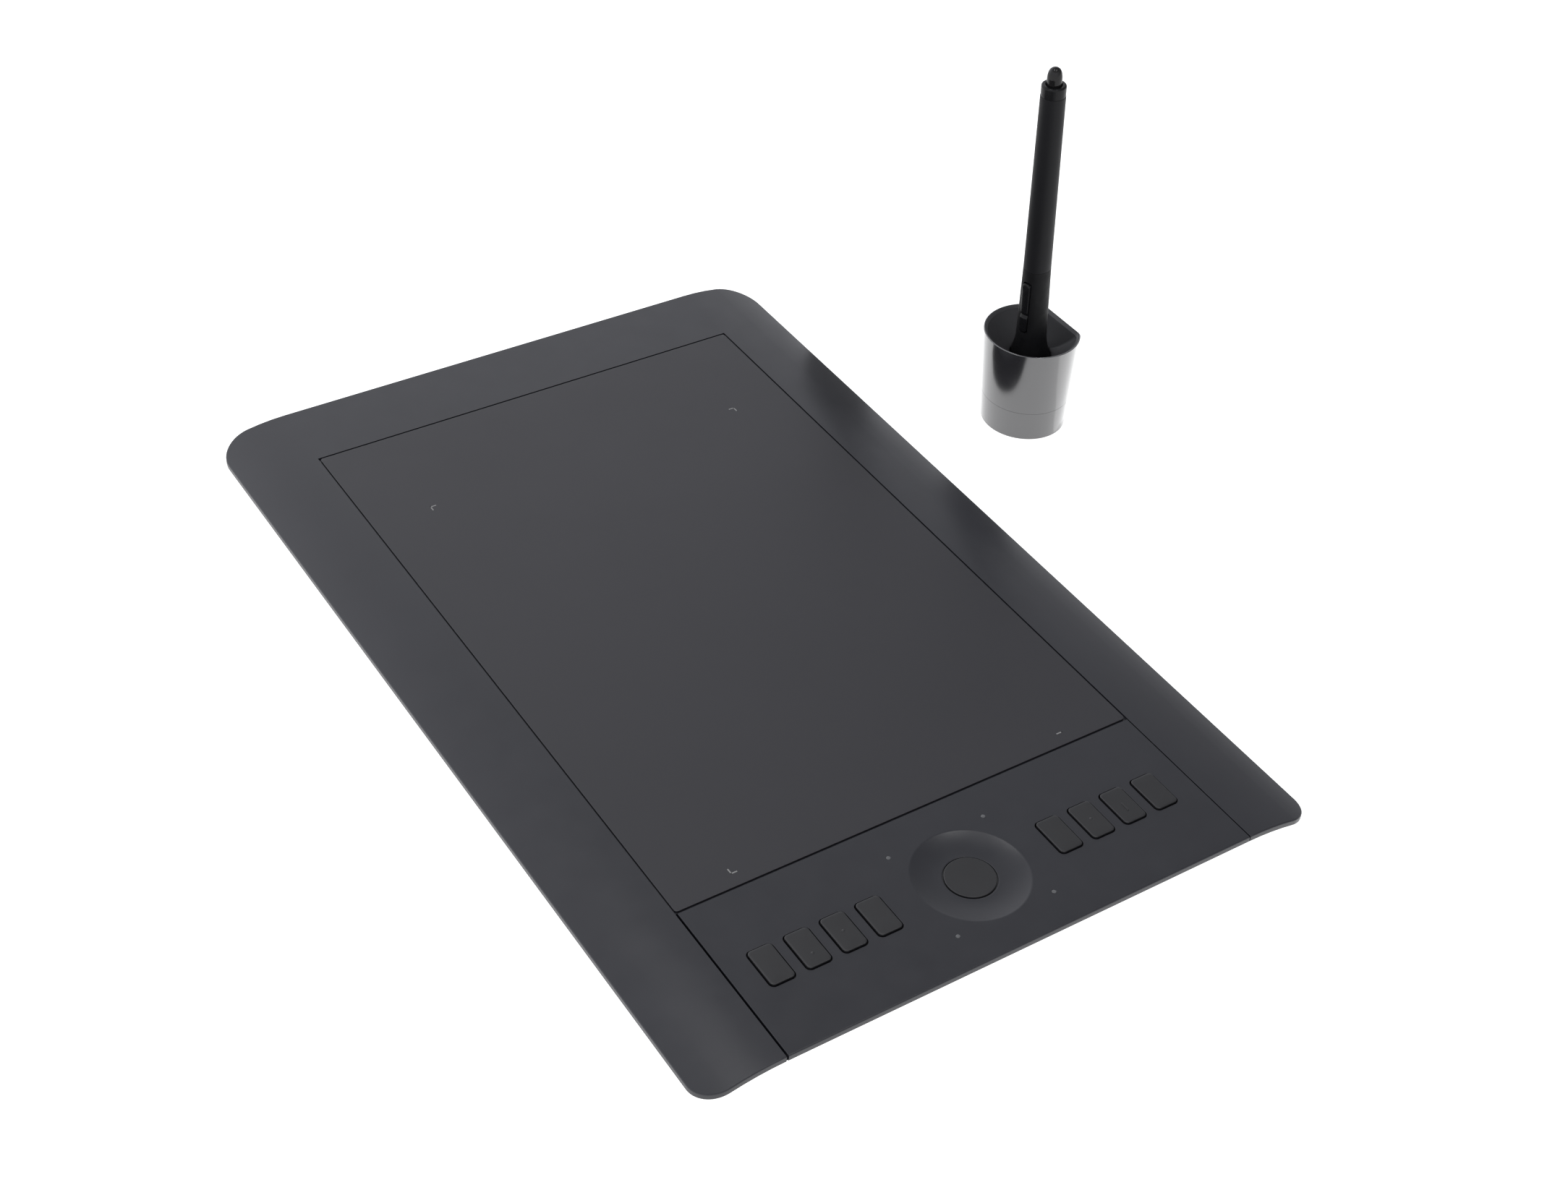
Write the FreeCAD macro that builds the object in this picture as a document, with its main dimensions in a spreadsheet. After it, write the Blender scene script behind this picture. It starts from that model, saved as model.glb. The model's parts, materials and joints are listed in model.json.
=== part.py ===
import FreeCAD, Part
import math
import os
from types import SimpleNamespace

import Sketcher
from FreeCAD import Placement, Rotation, Vector

# Pen drawing tablet with its pen and pen stand, in millimetres.
# The origin is under the middle of the tablet, on the desk.  +Z is up, the shortcut keys are at -X,
# and the pen stand is beside the tablet at -Y.

SIZES = {
    # outline of the tablet
    "tablet_length": 379.8, "tablet_width": 251, "top_height": 11,
    "near_corner": 10, "far_corner": 14.5, "wing_start": 95, "wing_radius": 90,
    "cover_thick": 2.6, "edge_round": 0.5, "edge_tuck": 0.5,
    # drawing sheet, centred on its own middle
    "sheet_middle": 17.15, "sheet_length": 277.5, "sheet_width": 189.2, "sheet_thick": 0.8,
    "sheet_corner": 1.2, "seam": 0.6,
    # keys panel
    "panel_end": -122.5, "panel_width": 189.1, "panel_shift": -0.2, "panel_thick": 2,
    "lip_depth": 1.8,
    # shortcut keys
    "key_middle": -156.15, "key_first": 37.5, "key_pitch": 14,
    "key_opening_long": 16.8, "key_opening_wide": 10.2, "key_corner": 2, "key_gap": 0.5,
    "key_rise": 0.7, "key_round": 0.25, "key_flange": 0.6, "key_flange_thick": 0.45, "key_free": 0.05,
    # touch ring
    "ring_radius": 20.65, "ring_depth": 1.6, "ring_hole": 9.5, "ring_gap": 0.4, "ring_rise": 0.4,
    "ring_button_edge": 0.35, "ring_button_flange": 0.5,
    "dot_radius": 0.8, "dot_x": 20.05, "dot_y": 19.85,
    # lower casing
    "foot_height": 1, "floor_thick": 2, "wall_thick": 2.2, "shell_inset": 0.6,
    "base_near": -181, "base_far": 187.8, "base_half_width": 112,
    "slope_near": 1.13, "slope_far": 0.7, "slope_side": 6.2,
    "boss_radius": 2.4, "screw_radius": 0.8, "head_radius": 1.8, "head_depth": 1.1,
    "foot_radius": 6,
    # socket and power button on the far wall
    "usb_y": 40, "usb_recess_wide": 13.4, "usb_recess_floor": 3, "usb_face": 183.5,
    "usb_wide": 8.2, "usb_tall": 3.7, "usb_deep": 8.5, "usb_seat": 1.4, "usb_skin": 0.4,
    "collar_wall": 1.2, "tongue_wide": 4.8, "tongue_thick": 0.9,
    "power_y": 62, "power_height": 5.7, "power_radius": 2, "power_gap": 0.3, "power_flange": 0.55,
    # bays under the tablet
    "battery_near": 8, "battery_far": 58, "module_near": 66, "module_far": 106,
    "bay_inner": 68, "bay_margin": 6, "cover_slab": 1.2, "bay_ledge": 2.5, "cover_gap": 0.25,
    "grip_ridge_half": 9, "grip_ridge_pitch": 3, "grip_ridge_wide": 1.4, "grip_ridge_deep": 0.35,
    # boards inside the tablet
    "sensor_near": -120, "sensor_far": 113, "sensor_half": 75, "sensor_thick": 1, "shield_thick": 0.3,
    "board_corner": 2, "board_back": 1.6, "board_near": 127, "board_low_y": -24, "board_high_y": 60,
    "board_thick": 1,
    "key_board_near": -176, "key_board_far": -133, "key_board_half": 88, "key_board_low": 6,
    "key_board_thick": 0.9, "switch_body": 4.4, "switch_tall": 0.85, "ring_board_thick": 0.85,
    # pen: stations along its axis from the nib's tip
    "pen_x": 56.07, "pen_y": -183.93, "pen_tip": 9.6, "pen_lean_x": 0.0279, "pen_lean_y": 0.0391,
    "pen_length": 155.8,
    "nose_start": 1.8, "nose_tip_radius": 1.7, "nose_end_radius": 3.9, "nose_curve": 26,
    "nib_tip_radius": 0.55, "nib_tip_rise": 0.25, "nib_length": 17,
    "grip_start": 10, "grip_end": 66, "bulge_curve": 29.56, "shoulder_curve": 12.3, "waist_curve": 27.5,
    "collar_start": 143.9, "collar_end": 148.6,
    "grip_nose_radius": 4, "grip_widest": 24.5, "grip_radius": 7.8, "grip_shoulder": 27.8,
    "grip_shoulder_radius": 7.35, "grip_waist": 35.2, "grip_waist_radius": 6.35,
    "barrel_radius": 5.7, "collar_radius": 4.98,
    "nib_radius": 0.9, "nib_clearance": 0.06, "eraser_radius": 3.05, "eraser_clearance": 0.08,
    "eraser_tip_radius": 2.75, "eraser_side_radius": 9, "collar_bead": 1.2, "pen_joint": 0.05,
    "pen_wall": 1.6,
    "switch_middle": 48.9, "switch_length": 23.2, "switch_width": 3.6, "switch_top": 7.0,
    "switch_azimuth": 104, "switch_pivot": 45.6, "switch_gap": 0.3, "valley_radius": 6, "valley_depth": 0.7,
    "switch_pin_radius": 0.6, "switch_pin_reach": 4.8,
    # pen stand, about its own upright axis
    "stand_x": 56.85, "stand_y": -183.6, "stand_height": 44.5, "stand_seam": 14.5,
    "seam_gap": 0.4, "stand_foot_radius": 18, "stand_rim_radius": 20.2,
    "stand_foot_flat": 14.9, "stand_rim_flat": 16.5, "stand_corner": 4.5, "stand_shift": 0.8,
    "stand_wall": 1, "stand_pad": 0.8, "stand_pad_inset": 1.2, "lip_step": 0.15,
    "throat_height": 33.5, "throat_radius": 9.1, "throat_flat": 8.9, "funnel_radius": 8.75,
    "weight_radius": 13, "weight_top": 4.1, "tray_radius": 13.2, "tray_low": 5, "tray_top": 9,
    "tray_well": 4.8, "nib_circle": 10.4, "spare_top": 13.4,
}


class Size:
    """A number together with the expression that gives it from the spreadsheet's cells."""

    def __init__(self, value, text):
        self.value = float(value)
        self.text = text

    def __add__(self, other):
        other = size(other)
        return Size(self.value + other.value, f"({self.text} + {other.text})")

    def __radd__(self, other):
        return size(other) + self

    def __sub__(self, other):
        other = size(other)
        return Size(self.value - other.value, f"({self.text} - {other.text})")

    def __rsub__(self, other):
        return size(other) - self

    def __mul__(self, other):
        other = size(other)
        return Size(self.value * other.value, f"({self.text} * {other.text})")

    def __rmul__(self, other):
        return size(other) * self

    def __truediv__(self, other):
        other = size(other)
        return Size(self.value / other.value, f"({self.text} / {other.text})")

    def __neg__(self):
        return Size(-self.value, f"(-1 * {self.text})")


def size(number):
    return number if isinstance(number, Size) else Size(number, repr(float(number)))


def root(square):
    return Size(math.sqrt(square.value), f"sqrt({square.text})")


doc = FreeCAD.newDocument("PenTablet")
sheet = doc.addObject("Spreadsheet::Sheet", "Sheet")
for row, (alias, number) in enumerate(SIZES.items(), start=1):
    sheet.set(f"A{row}", alias)
    sheet.set(f"B{row}", str(number))
    sheet.setAlias(f"B{row}", alias)
doc.recompute()
d = SimpleNamespace(**{alias: Size(number, f"Sheet.{alias}") for alias, number in SIZES.items()})

nodes = []


# ---------------------------------------------------------------- helpers

def bind(item, prop, value):
    """Set a property from the sheet's cells."""
    value = size(value)
    item.setExpression(prop, value.text)


def node(name, item):
    """Name a finished sub-part: its label is its file's name."""
    item.Label = name
    nodes.append(item)
    return item


def move(item, x=0, y=0, z=0):
    for axis, value in zip("xyz", (x, y, z)):
        bind(item, f"Placement.Base.{axis}", value)
    return item


def block(name, low, high):
    """A box between two corners."""
    item = doc.addObject("Part::Box", name)
    for prop, first, last in zip(("Length", "Width", "Height"), low, high):
        bind(item, prop, size(last) - first)
    return move(item, *low)


def rod(name, radius, low, high, x=0, y=0):
    """An upright cylinder between two heights."""
    item = doc.addObject("Part::Cylinder", name)
    bind(item, "Radius", radius)
    bind(item, "Height", size(high) - low)
    return move(item, x, y, low)


def rod_along_x(name, radius, first, last, y, z):
    """A cylinder lying along X."""
    item = doc.addObject("Part::Cylinder", name)
    item.Placement = Placement(Vector(), Rotation(Vector(0, 1, 0), 90))
    bind(item, "Radius", radius)
    bind(item, "Height", size(last) - first)
    return move(item, first, y, z)


def fuse(name, *items):
    item = doc.addObject("Part::MultiFuse", name)
    item.Shapes = list(items)
    return item


def common(name, *items):
    item = doc.addObject("Part::MultiCommon", name)
    item.Shapes = list(items)
    return item


def cut(name, base, *tools):
    item = doc.addObject("Part::Cut", name)
    item.Base = base
    item.Tool = tools[0] if len(tools) == 1 else fuse(name + "Tools", *tools)
    return item


def group(name, *items):
    """Separate solids that share one node."""
    item = doc.addObject("Part::Compound", name)
    item.Links = list(items)
    return item


def attach(sketch, body, plane, offset):
    """Put a sketch on one of its body's own origin planes, lifted by an offset."""
    features = body.Origin.OriginFeatures
    sketch.AttachmentSupport = [(next(f for f in features if f.Role == plane), "")]
    sketch.MapMode = "FlatFace"
    bind(sketch, "AttachmentOffset.Base.z", offset)


def draw(sketch, points):
    """Draw a closed outline.  A point is (x, y), or (x, y, radius, side) for an arc that ends there,
    whose centre is on the left (side 1) or the right (side -1) of the way from the point before."""
    count = len(points)
    ends = []
    for index, point in enumerate(points):
        before = points[index - 1]
        first = Vector(size(before[0]).value, size(before[1]).value, 0)
        last = Vector(size(point[0]).value, size(point[1]).value, 0)
        if len(point) == 2:
            sketch.addGeometry(Part.LineSegment(first, last), False)
            ends.append((1, 2))
            continue
        radius, side = size(point[2]).value, point[3]
        half = (last - first) * 0.5
        reach = math.sqrt(max(radius ** 2 - half.Length ** 2, 0))
        normal = Vector(-half.y, half.x, 0).normalize()
        centre = first + half + normal * (reach * side)
        start, stop = (first, last) if side > 0 else (last, first)
        low = math.atan2(start.y - centre.y, start.x - centre.x)
        high = math.atan2(stop.y - centre.y, stop.x - centre.x)
        if high < low:
            high += 2 * math.pi
        sketch.addGeometry(Part.ArcOfCircle(Part.Circle(centre, Vector(0, 0, 1), radius), low, high), False)
        ends.append((1, 2) if side > 0 else (2, 1))
    for index, point in enumerate(points):
        following = (index + 1) % count
        sketch.addConstraint(Sketcher.Constraint(
            "Coincident", index, ends[index][1], following, ends[following][0]))
        for axis, coordinate in (("X", point[0]), ("Y", point[1])):
            coordinate = size(coordinate)
            number = sketch.addConstraint(Sketcher.Constraint(
                f"Distance{axis}", -1, 1, index, ends[index][1], coordinate.value))
            label = f"point{index}{axis}"
            sketch.renameConstraint(number, label)
            sketch.setExpression(f"Constraints.{label}", coordinate.text)
        if len(point) == 4:
            number = sketch.addConstraint(Sketcher.Constraint("Radius", index, size(point[2]).value))
            sketch.renameConstraint(number, f"radius{index}")
            sketch.setExpression(f"Constraints.radius{index}", size(point[2]).text)


def padded(name, points, low, high):
    """A body with one outline padded between two heights."""
    body = doc.addObject("PartDesign::Body", name)
    outline = body.newObject("Sketcher::SketchObject", name + "Outline")
    attach(outline, body, "XY_Plane", low)
    draw(outline, points)
    pad = body.newObject("PartDesign::Pad", name + "Pad")
    pad.Profile = outline
    bind(pad, "Length", size(high) - low)
    doc.recompute()
    return body


def revolved(name, points):
    """A body turned about the upright axis from a half outline in the XZ plane."""
    body = doc.addObject("PartDesign::Body", name)
    outline = body.newObject("Sketcher::SketchObject", name + "Outline")
    attach(outline, body, "XZ_Plane", 0)
    draw(outline, points)
    turn = body.newObject("PartDesign::Revolution", name + "Turn")
    turn.Profile = outline
    turn.ReferenceAxis = (outline, ["V_Axis"])
    turn.Angle = 360
    doc.recompute()
    return body


def pocketed(body, name, points, top, depth):
    """Cut an outline down into a body from a height."""
    outline = body.newObject("Sketcher::SketchObject", name + "Outline")
    attach(outline, body, "XY_Plane", top)
    draw(outline, points)
    pocket = body.newObject("PartDesign::Pocket", name)
    pocket.Profile = outline
    bind(pocket, "Length", depth)
    doc.recompute()
    return pocket


def rounded(body, name, radius, wanted):
    """Fillet the edges of a body's tip that the test accepts."""
    base = body.Tip
    names = [f"Edge{i}" for i, edge in enumerate(base.Shape.Edges, start=1) if wanted(edge)]
    fillet = body.newObject("PartDesign::Fillet", name)
    fillet.Base = (base, names)
    bind(fillet, "Radius", radius)
    doc.recompute()
    return fillet


def softened(name, base, radius, wanted):
    """Round the edges of a solid that the test accepts."""
    doc.recompute()
    item = doc.addObject("Part::Fillet", name)
    item.Base = base
    numbers = [i for i, edge in enumerate(base.Shape.Edges, start=1) if wanted(edge)]
    item.Edges = [(i, size(radius).value, size(radius).value) for i in numbers]
    return item


def ends_at(edge, heights):
    """True when the ends of an edge lie at the given heights."""
    found = sorted(round(vertex.Point.z, 3) for vertex in edge.Vertexes)
    return found == sorted(round(height, 3) for height in heights)


def rectangle(low_x, low_y, high_x, high_y):
    return [(low_x, low_y), (high_x, low_y), (high_x, high_y), (low_x, high_y)]


def slab(low_x, low_y, high_x, high_y, corner):
    """A rectangle with round corners, drawn with arcs."""
    return [
        (high_x - corner, low_y), (high_x, low_y + corner, corner, 1),
        (high_x, high_y - corner), (high_x - corner, high_y, corner, 1),
        (low_x + corner, high_y), (low_x, high_y - corner, corner, 1),
        (low_x, low_y + corner), (low_x + corner, low_y, corner, 1),
    ]


def dome(half_width, rise):
    """Radius of the arc that crowns a half width by a rise."""
    return (size(half_width) * half_width + size(rise) * rise) / (2 * size(rise))


def copies(name, places, make):
    """The same piece at several places, as one group of separate solids."""
    return group(name, *[make(f"{name}{i}", *place) for i, place in enumerate(places, start=1)])


# ---------------------------------------------------------------- shared forms of the tablet

half_length = d.tablet_length / 2
half_width = d.tablet_width / 2
cover_under = d.top_height - d.cover_thick
floor_top = d.foot_height + d.floor_thick


def plan(name, inset, low, high):
    """The tablet's outline seen from above, set in by a margin: tight near corners, wide far ones."""
    x, y = half_length - inset, half_width - inset
    near, far = d.near_corner - inset, d.far_corner - inset
    return padded(name, [
        (x - far, -y), (x, far - y, far, 1), (x, y - far), (x - far, y, far, 1),
        (near - x, y), (-x, y - near, near, 1), (-x, near - y), (near - x, -y, near, 1),
    ], low, high)


def arch(name, drop):
    """Everything under the top face lowered by a drop: flat in the middle, round over the wings."""
    top = d.top_height - drop
    middle = block(name + "Middle", (-half_length - 1, -d.wing_start, -5),
                   (half_length + 1, d.wing_start, top))
    wings = [
        rod_along_x(f"{name}Wing{side}", d.wing_radius, -half_length - 1, half_length + 1,
                    d.wing_start * sign, top - d.wing_radius)
        for side, sign in (("Left", 1), ("Right", -1))
    ]
    return fuse(name, middle, *wings)


def dish(name, low, near, far, side):
    """A solid whose walls slope outward as they rise from a floor: near, far and side walls."""
    rise = d.top_height - low
    item = doc.addObject("Part::Wedge", name)
    item.Placement = Placement(Vector(), Rotation(Vector(1, 0, 0), 90))
    spans = {
        "Xmin": near, "Xmax": far, "Zmin": -side, "Zmax": side,
        "X2min": near - rise * d.slope_near, "X2max": far + rise * d.slope_far,
        "Z2min": -side - rise * d.slope_side, "Z2max": side + rise * d.slope_side,
        "Ymin": 0, "Ymax": rise,
    }
    for prop, value in spans.items():
        bind(item, prop, value)
    return move(item, 0, 0, low)


def is_top_rim(edge):
    """True on the rim round the top face, but not on the lines where the wings begin to droop."""
    ends = [vertex.Point for vertex in edge.Vertexes]
    droop_line = abs(ends[0].y - ends[-1].y) < 0.001 and abs(abs(ends[0].y) - SIZES["wing_start"]) < 0.001
    return min(end.z for end in ends) > SIZES["foot_height"] and not droop_line


def is_under_rim(edge):
    """True on the outer edge of the cover's underside."""
    middle = edge.valueAt((edge.FirstParameter + edge.LastParameter) / 2)
    half_long, half_wide = SIZES["tablet_length"] / 2, SIZES["tablet_width"] / 2
    reach = SIZES["far_corner"]
    beside = half_long - abs(middle.x) < reach or half_wide - abs(middle.y) < reach
    droop = SIZES["wing_radius"] - math.sqrt(SIZES["wing_radius"] ** 2
                                             - max(abs(middle.y) - SIZES["wing_start"], 0) ** 2)
    under = SIZES["top_height"] - SIZES["cover_thick"] - droop
    ends = [vertex.Point for vertex in edge.Vertexes]
    droop_line = abs(ends[0].y - ends[-1].y) < 0.001 and abs(abs(ends[0].y) - SIZES["wing_start"]) < 0.001
    return beside and abs(middle.z - under) < 0.01 and not droop_line


screw_places = [(x, y) for x in (-110, 0, 118) for y in (-86, 86)] + [(172, -70), (172, 70)]
dot_places = [(d.key_middle + d.dot_x * across, d.dot_y * along) for across in (-1, 1) for along in (-1, 1)]
key_rows = [d.key_first + d.key_pitch * step for step in range(4)]
key_middles = [-row for row in reversed(key_rows)] + key_rows


# ---------------------------------------------------------------- top cover, sheet and keys panel

def bezel_frame():
    block_form = common("BezelForm", plan("BezelPlan", 0, 0, d.top_height + 1), arch("BezelArch", 0))
    outer = softened("BezelOuter", block_form, d.edge_round, is_top_rim)
    bosses = [rod(f"Boss{i}", d.boss_radius, floor_top, cover_under + 0.5, x, y)
              for i, (x, y) in enumerate(screw_places, start=1)]
    bores = [rod(f"BossBore{i}", d.screw_radius, floor_top - 1, cover_under, x, y)
             for i, (x, y) in enumerate(screw_places, start=1)]
    skin = softened("BezelTucked", cut("BezelSkin", outer, arch("BezelUnder", d.cover_thick)), d.edge_tuck,
                    is_under_rim)
    shell = fuse("BezelShell", skin, *bosses)
    half_sheet = d.sheet_length / 2 + d.seam
    recess = block(
        "SheetRecess",
        (d.sheet_middle - half_sheet, -d.sheet_width / 2 - d.seam, d.top_height - d.sheet_thick),
        (d.sheet_middle + half_sheet, d.sheet_width / 2 + d.seam, d.top_height + 1))
    gap = d.panel_width / 2 + d.seam
    opening = block("PanelOpening", (-half_length - 1, -gap, 0),
                    (d.panel_end + d.seam, gap, d.top_height + 1))
    return node("bezel_frame", cut("BezelFrame", shell, recess, opening, *bores))


def drawing_surface():
    half = d.sheet_length / 2
    return node("drawing_surface", padded(
        "DrawingSurface",
        slab(d.sheet_middle - half, -d.sheet_width / 2, d.sheet_middle + half, d.sheet_width / 2,
             d.sheet_corner),
        d.top_height - d.sheet_thick, d.top_height))


def keys_panel():
    under = d.top_height - d.panel_thick
    low_side, high_side = d.panel_shift - d.panel_width / 2, d.panel_shift + d.panel_width / 2
    body = padded("KeysPanel", rectangle(-half_length, low_side, d.panel_end, high_side), under, d.top_height)
    lip = body.newObject("Sketcher::SketchObject", "LipOutline")
    attach(lip, body, "XY_Plane", cover_under)
    draw(lip, rectangle(-half_length, low_side, d.lip_depth - half_length, high_side))
    lip_pad = body.newObject("PartDesign::Pad", "Lip")
    lip_pad.Profile = lip
    bind(lip_pad, "Length", d.panel_thick)
    doc.recompute()
    near = -half_length.value
    for name, radius, height in (("LipRound", d.edge_round, d.top_height),
                                 ("LipTuck", d.edge_tuck, cover_under)):
        rounded(body, name, radius, lambda edge: ends_at(edge, [height.value] * 2) and all(
            abs(vertex.Point.x - near) < 0.01 for vertex in edge.Vertexes))
    x = d.key_opening_long / 2
    y = d.key_opening_wide / 2
    for number, middle in enumerate(key_middles, start=1):
        pocketed(body, f"KeyOpening{number}",
                 slab(d.key_middle - x, middle - y, d.key_middle + x, middle + y, d.key_corner),
                 d.top_height, d.panel_thick + 1)
    # touch ring: a shallow dish, level round its middle and steeper towards a crisp rim
    floor = d.top_height - d.ring_depth
    curve = dome(d.ring_radius - d.ring_hole, d.ring_depth)
    dish_cut = revolved("RingDish", [
        (0, under - 1), (d.ring_hole, under - 1), (d.ring_hole, floor),
        (d.ring_radius, d.top_height, curve, 1), (d.ring_radius, d.top_height + 1), (0, d.top_height + 1)])
    move(dish_cut, d.key_middle)
    dots = [rod(f"DotHole{i}", d.dot_radius, under - 1, d.top_height + 1, x, y)
            for i, (x, y) in enumerate(dot_places, start=1)]
    return node("keys_panel", cut("KeysPanelCut", body, dish_cut, *dots))


def shortcut_keys():
    long_half = d.key_opening_long / 2 - d.key_gap
    wide_half = d.key_opening_wide / 2 - d.key_gap
    under = d.top_height - d.panel_thick - d.key_free
    corner = d.key_corner - d.key_gap
    flange = d.key_gap + d.key_flange
    for number, middle in enumerate(key_middles, start=1):
        x, y = d.key_middle, middle
        body = padded(f"ShortcutKey{number}", slab(x - long_half, y - wide_half, x + long_half, y + wide_half,
                                                   corner), under - 0.2, d.top_height + d.key_rise)
        top = SIZES["top_height"] + SIZES["key_rise"]
        rounded(body, f"KeyRound{number}", d.key_round, lambda edge: ends_at(edge, [top, top]))
        skirt = body.newObject("Sketcher::SketchObject", f"KeySkirtOutline{number}")
        attach(skirt, body, "XY_Plane", under - d.key_flange_thick)
        draw(skirt, slab(x - long_half - flange, y - wide_half - flange,
                         x + long_half + flange, y + wide_half + flange, corner))
        pad = body.newObject("PartDesign::Pad", f"KeySkirt{number}")
        pad.Profile = skirt
        bind(pad, "Length", d.key_flange_thick)
        node(f"shortcut_key_{number}", body)


def ring_button():
    radius = d.ring_hole - d.ring_gap
    flange = d.ring_button_flange
    edge = d.ring_button_edge
    under = d.top_height - d.panel_thick - d.key_free
    top = d.top_height - d.ring_depth + d.ring_rise
    body = revolved("RingButton", [
        (0, under - flange), (d.ring_hole + flange, under - flange), (d.ring_hole + flange, under),
        (radius, under), (radius, top - edge), (radius - edge, top, edge, 1), (0, top)])
    return node("ring_button", move(body, d.key_middle))


# ---------------------------------------------------------------- lower casing

def bottom_shell():
    outer = common("ShellOuter", plan("ShellPlan", d.shell_inset, 0, d.top_height),
                   arch("ShellArch", d.cover_thick),
                   dish("ShellDish", d.foot_height, d.base_near, d.base_far, d.base_half_width))
    inner = common("ShellHollow", plan("HollowPlan", d.shell_inset + d.wall_thick, floor_top, d.top_height),
                   dish("HollowDish", floor_top, d.base_near + 0.5, d.base_far - 1, d.base_half_width - 2.5))
    hollow = cut("ShellWalls", outer, inner)

    # a collar round the socket's recess, and the recess itself
    half = d.usb_recess_wide / 2
    wall = d.collar_wall
    seat = floor_top + d.usb_seat
    recess_low = (d.usb_face, d.usb_y - half, d.usb_recess_floor)
    recess_high = (half_length + 1, d.usb_y + half, d.top_height)
    collar = block("SocketCollar", (d.usb_face - wall, d.usb_y - half - wall, d.foot_height + 1),
                   (half_length - d.wall_thick, d.usb_y + half + wall, cover_under))
    recess = block("SocketRecess", recess_low, recess_high)
    mouth = block("SocketMouth", (d.usb_face - wall - 1, d.usb_y - d.usb_wide / 2, seat),
                  (d.usb_face + 1, d.usb_y + d.usb_wide / 2, seat + d.usb_tall))
    power = rod_along_x("PowerHole", d.power_radius + d.power_gap, d.base_far - 4, half_length + 1,
                        d.power_y, d.power_height)

    # bays for the battery and the wireless module: a hole with a ledge for the sliding cover
    bays = []
    for name, near, far in (("Battery", d.battery_near, d.battery_far),
                            ("Module", d.module_near, d.module_far)):
        bays.append(block(name + "Bay", (near + d.bay_ledge, d.bay_inner + d.bay_ledge, 0),
                          (far - d.bay_ledge, d.base_half_width - d.bay_margin, floor_top + 1)))
        bays.append(block(name + "Seat", (near, d.bay_inner, 0),
                          (far, d.base_half_width + 20, d.foot_height + d.cover_slab + 0.15)))
    holes = []
    for i, (x, y) in enumerate(screw_places, start=1):
        holes.append(rod(f"ScrewHole{i}", d.screw_radius + 0.2, 0, floor_top + 1, x, y))
        holes.append(rod(f"HeadHole{i}", d.head_radius + 0.2, 0, d.foot_height + d.head_depth + 0.1, x, y))
    walls = fuse("ShellWithCollar", hollow, collar)
    return node("bottom_shell", cut("BottomShell", walls, recess, mouth, power, *bays, *holes))


def bay_covers():
    for name, label, near, far in (("BatteryCover", "battery_cover", d.battery_near, d.battery_far),
                                   ("ModuleCover", "module_cover", d.module_near, d.module_far)):
        gap = d.cover_gap
        slab_body = padded(name, rectangle(near + gap, d.bay_inner + gap, far - gap, d.base_half_width + 1),
                           d.foot_height, d.foot_height + d.cover_slab)
        middle = (near + far) / 2
        rows = [d.base_half_width - 14 + d.grip_ridge_pitch * i for i in range(4)]
        ridge_top = d.foot_height + d.grip_ridge_deep
        ridges = [block(f"{name}Ridge{i}", (middle - d.grip_ridge_half, row, d.foot_height - 1),
                        (middle + d.grip_ridge_half, row + d.grip_ridge_wide, ridge_top))
                  for i, row in enumerate(rows, start=1)]
        slope = dish(name + "Slope", d.foot_height, d.base_near, d.base_far, d.base_half_width)
        node(label, cut(name + "Grip", common(name + "Shaped", slab_body, slope), *ridges))


def feet_and_screws():
    places = [(0, 0), (-165, -95), (-165, 95), (165, -95), (165, 95)]
    node("rubber_feet", copies("RubberFeet", places, lambda name, x, y: rod(
        name, d.foot_radius, 0, d.foot_height, x, y)))

    def screw(name, x, y):
        head = rod(name + "Head", d.head_radius, d.foot_height + 0.2, d.foot_height + d.head_depth, x, y)
        shank = rod(name + "Shank", d.screw_radius, d.foot_height + d.head_depth - 0.1, cover_under - 0.4,
                    x, y)
        drive = rod(name + "Drive", d.head_radius / 2, d.foot_height, d.foot_height + 0.7, x, y)
        return cut(name, fuse(name + "Blank", head, shank), drive)

    node("case_screws", copies("CaseScrews", screw_places, screw))


# ---------------------------------------------------------------- electronics of the tablet

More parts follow.
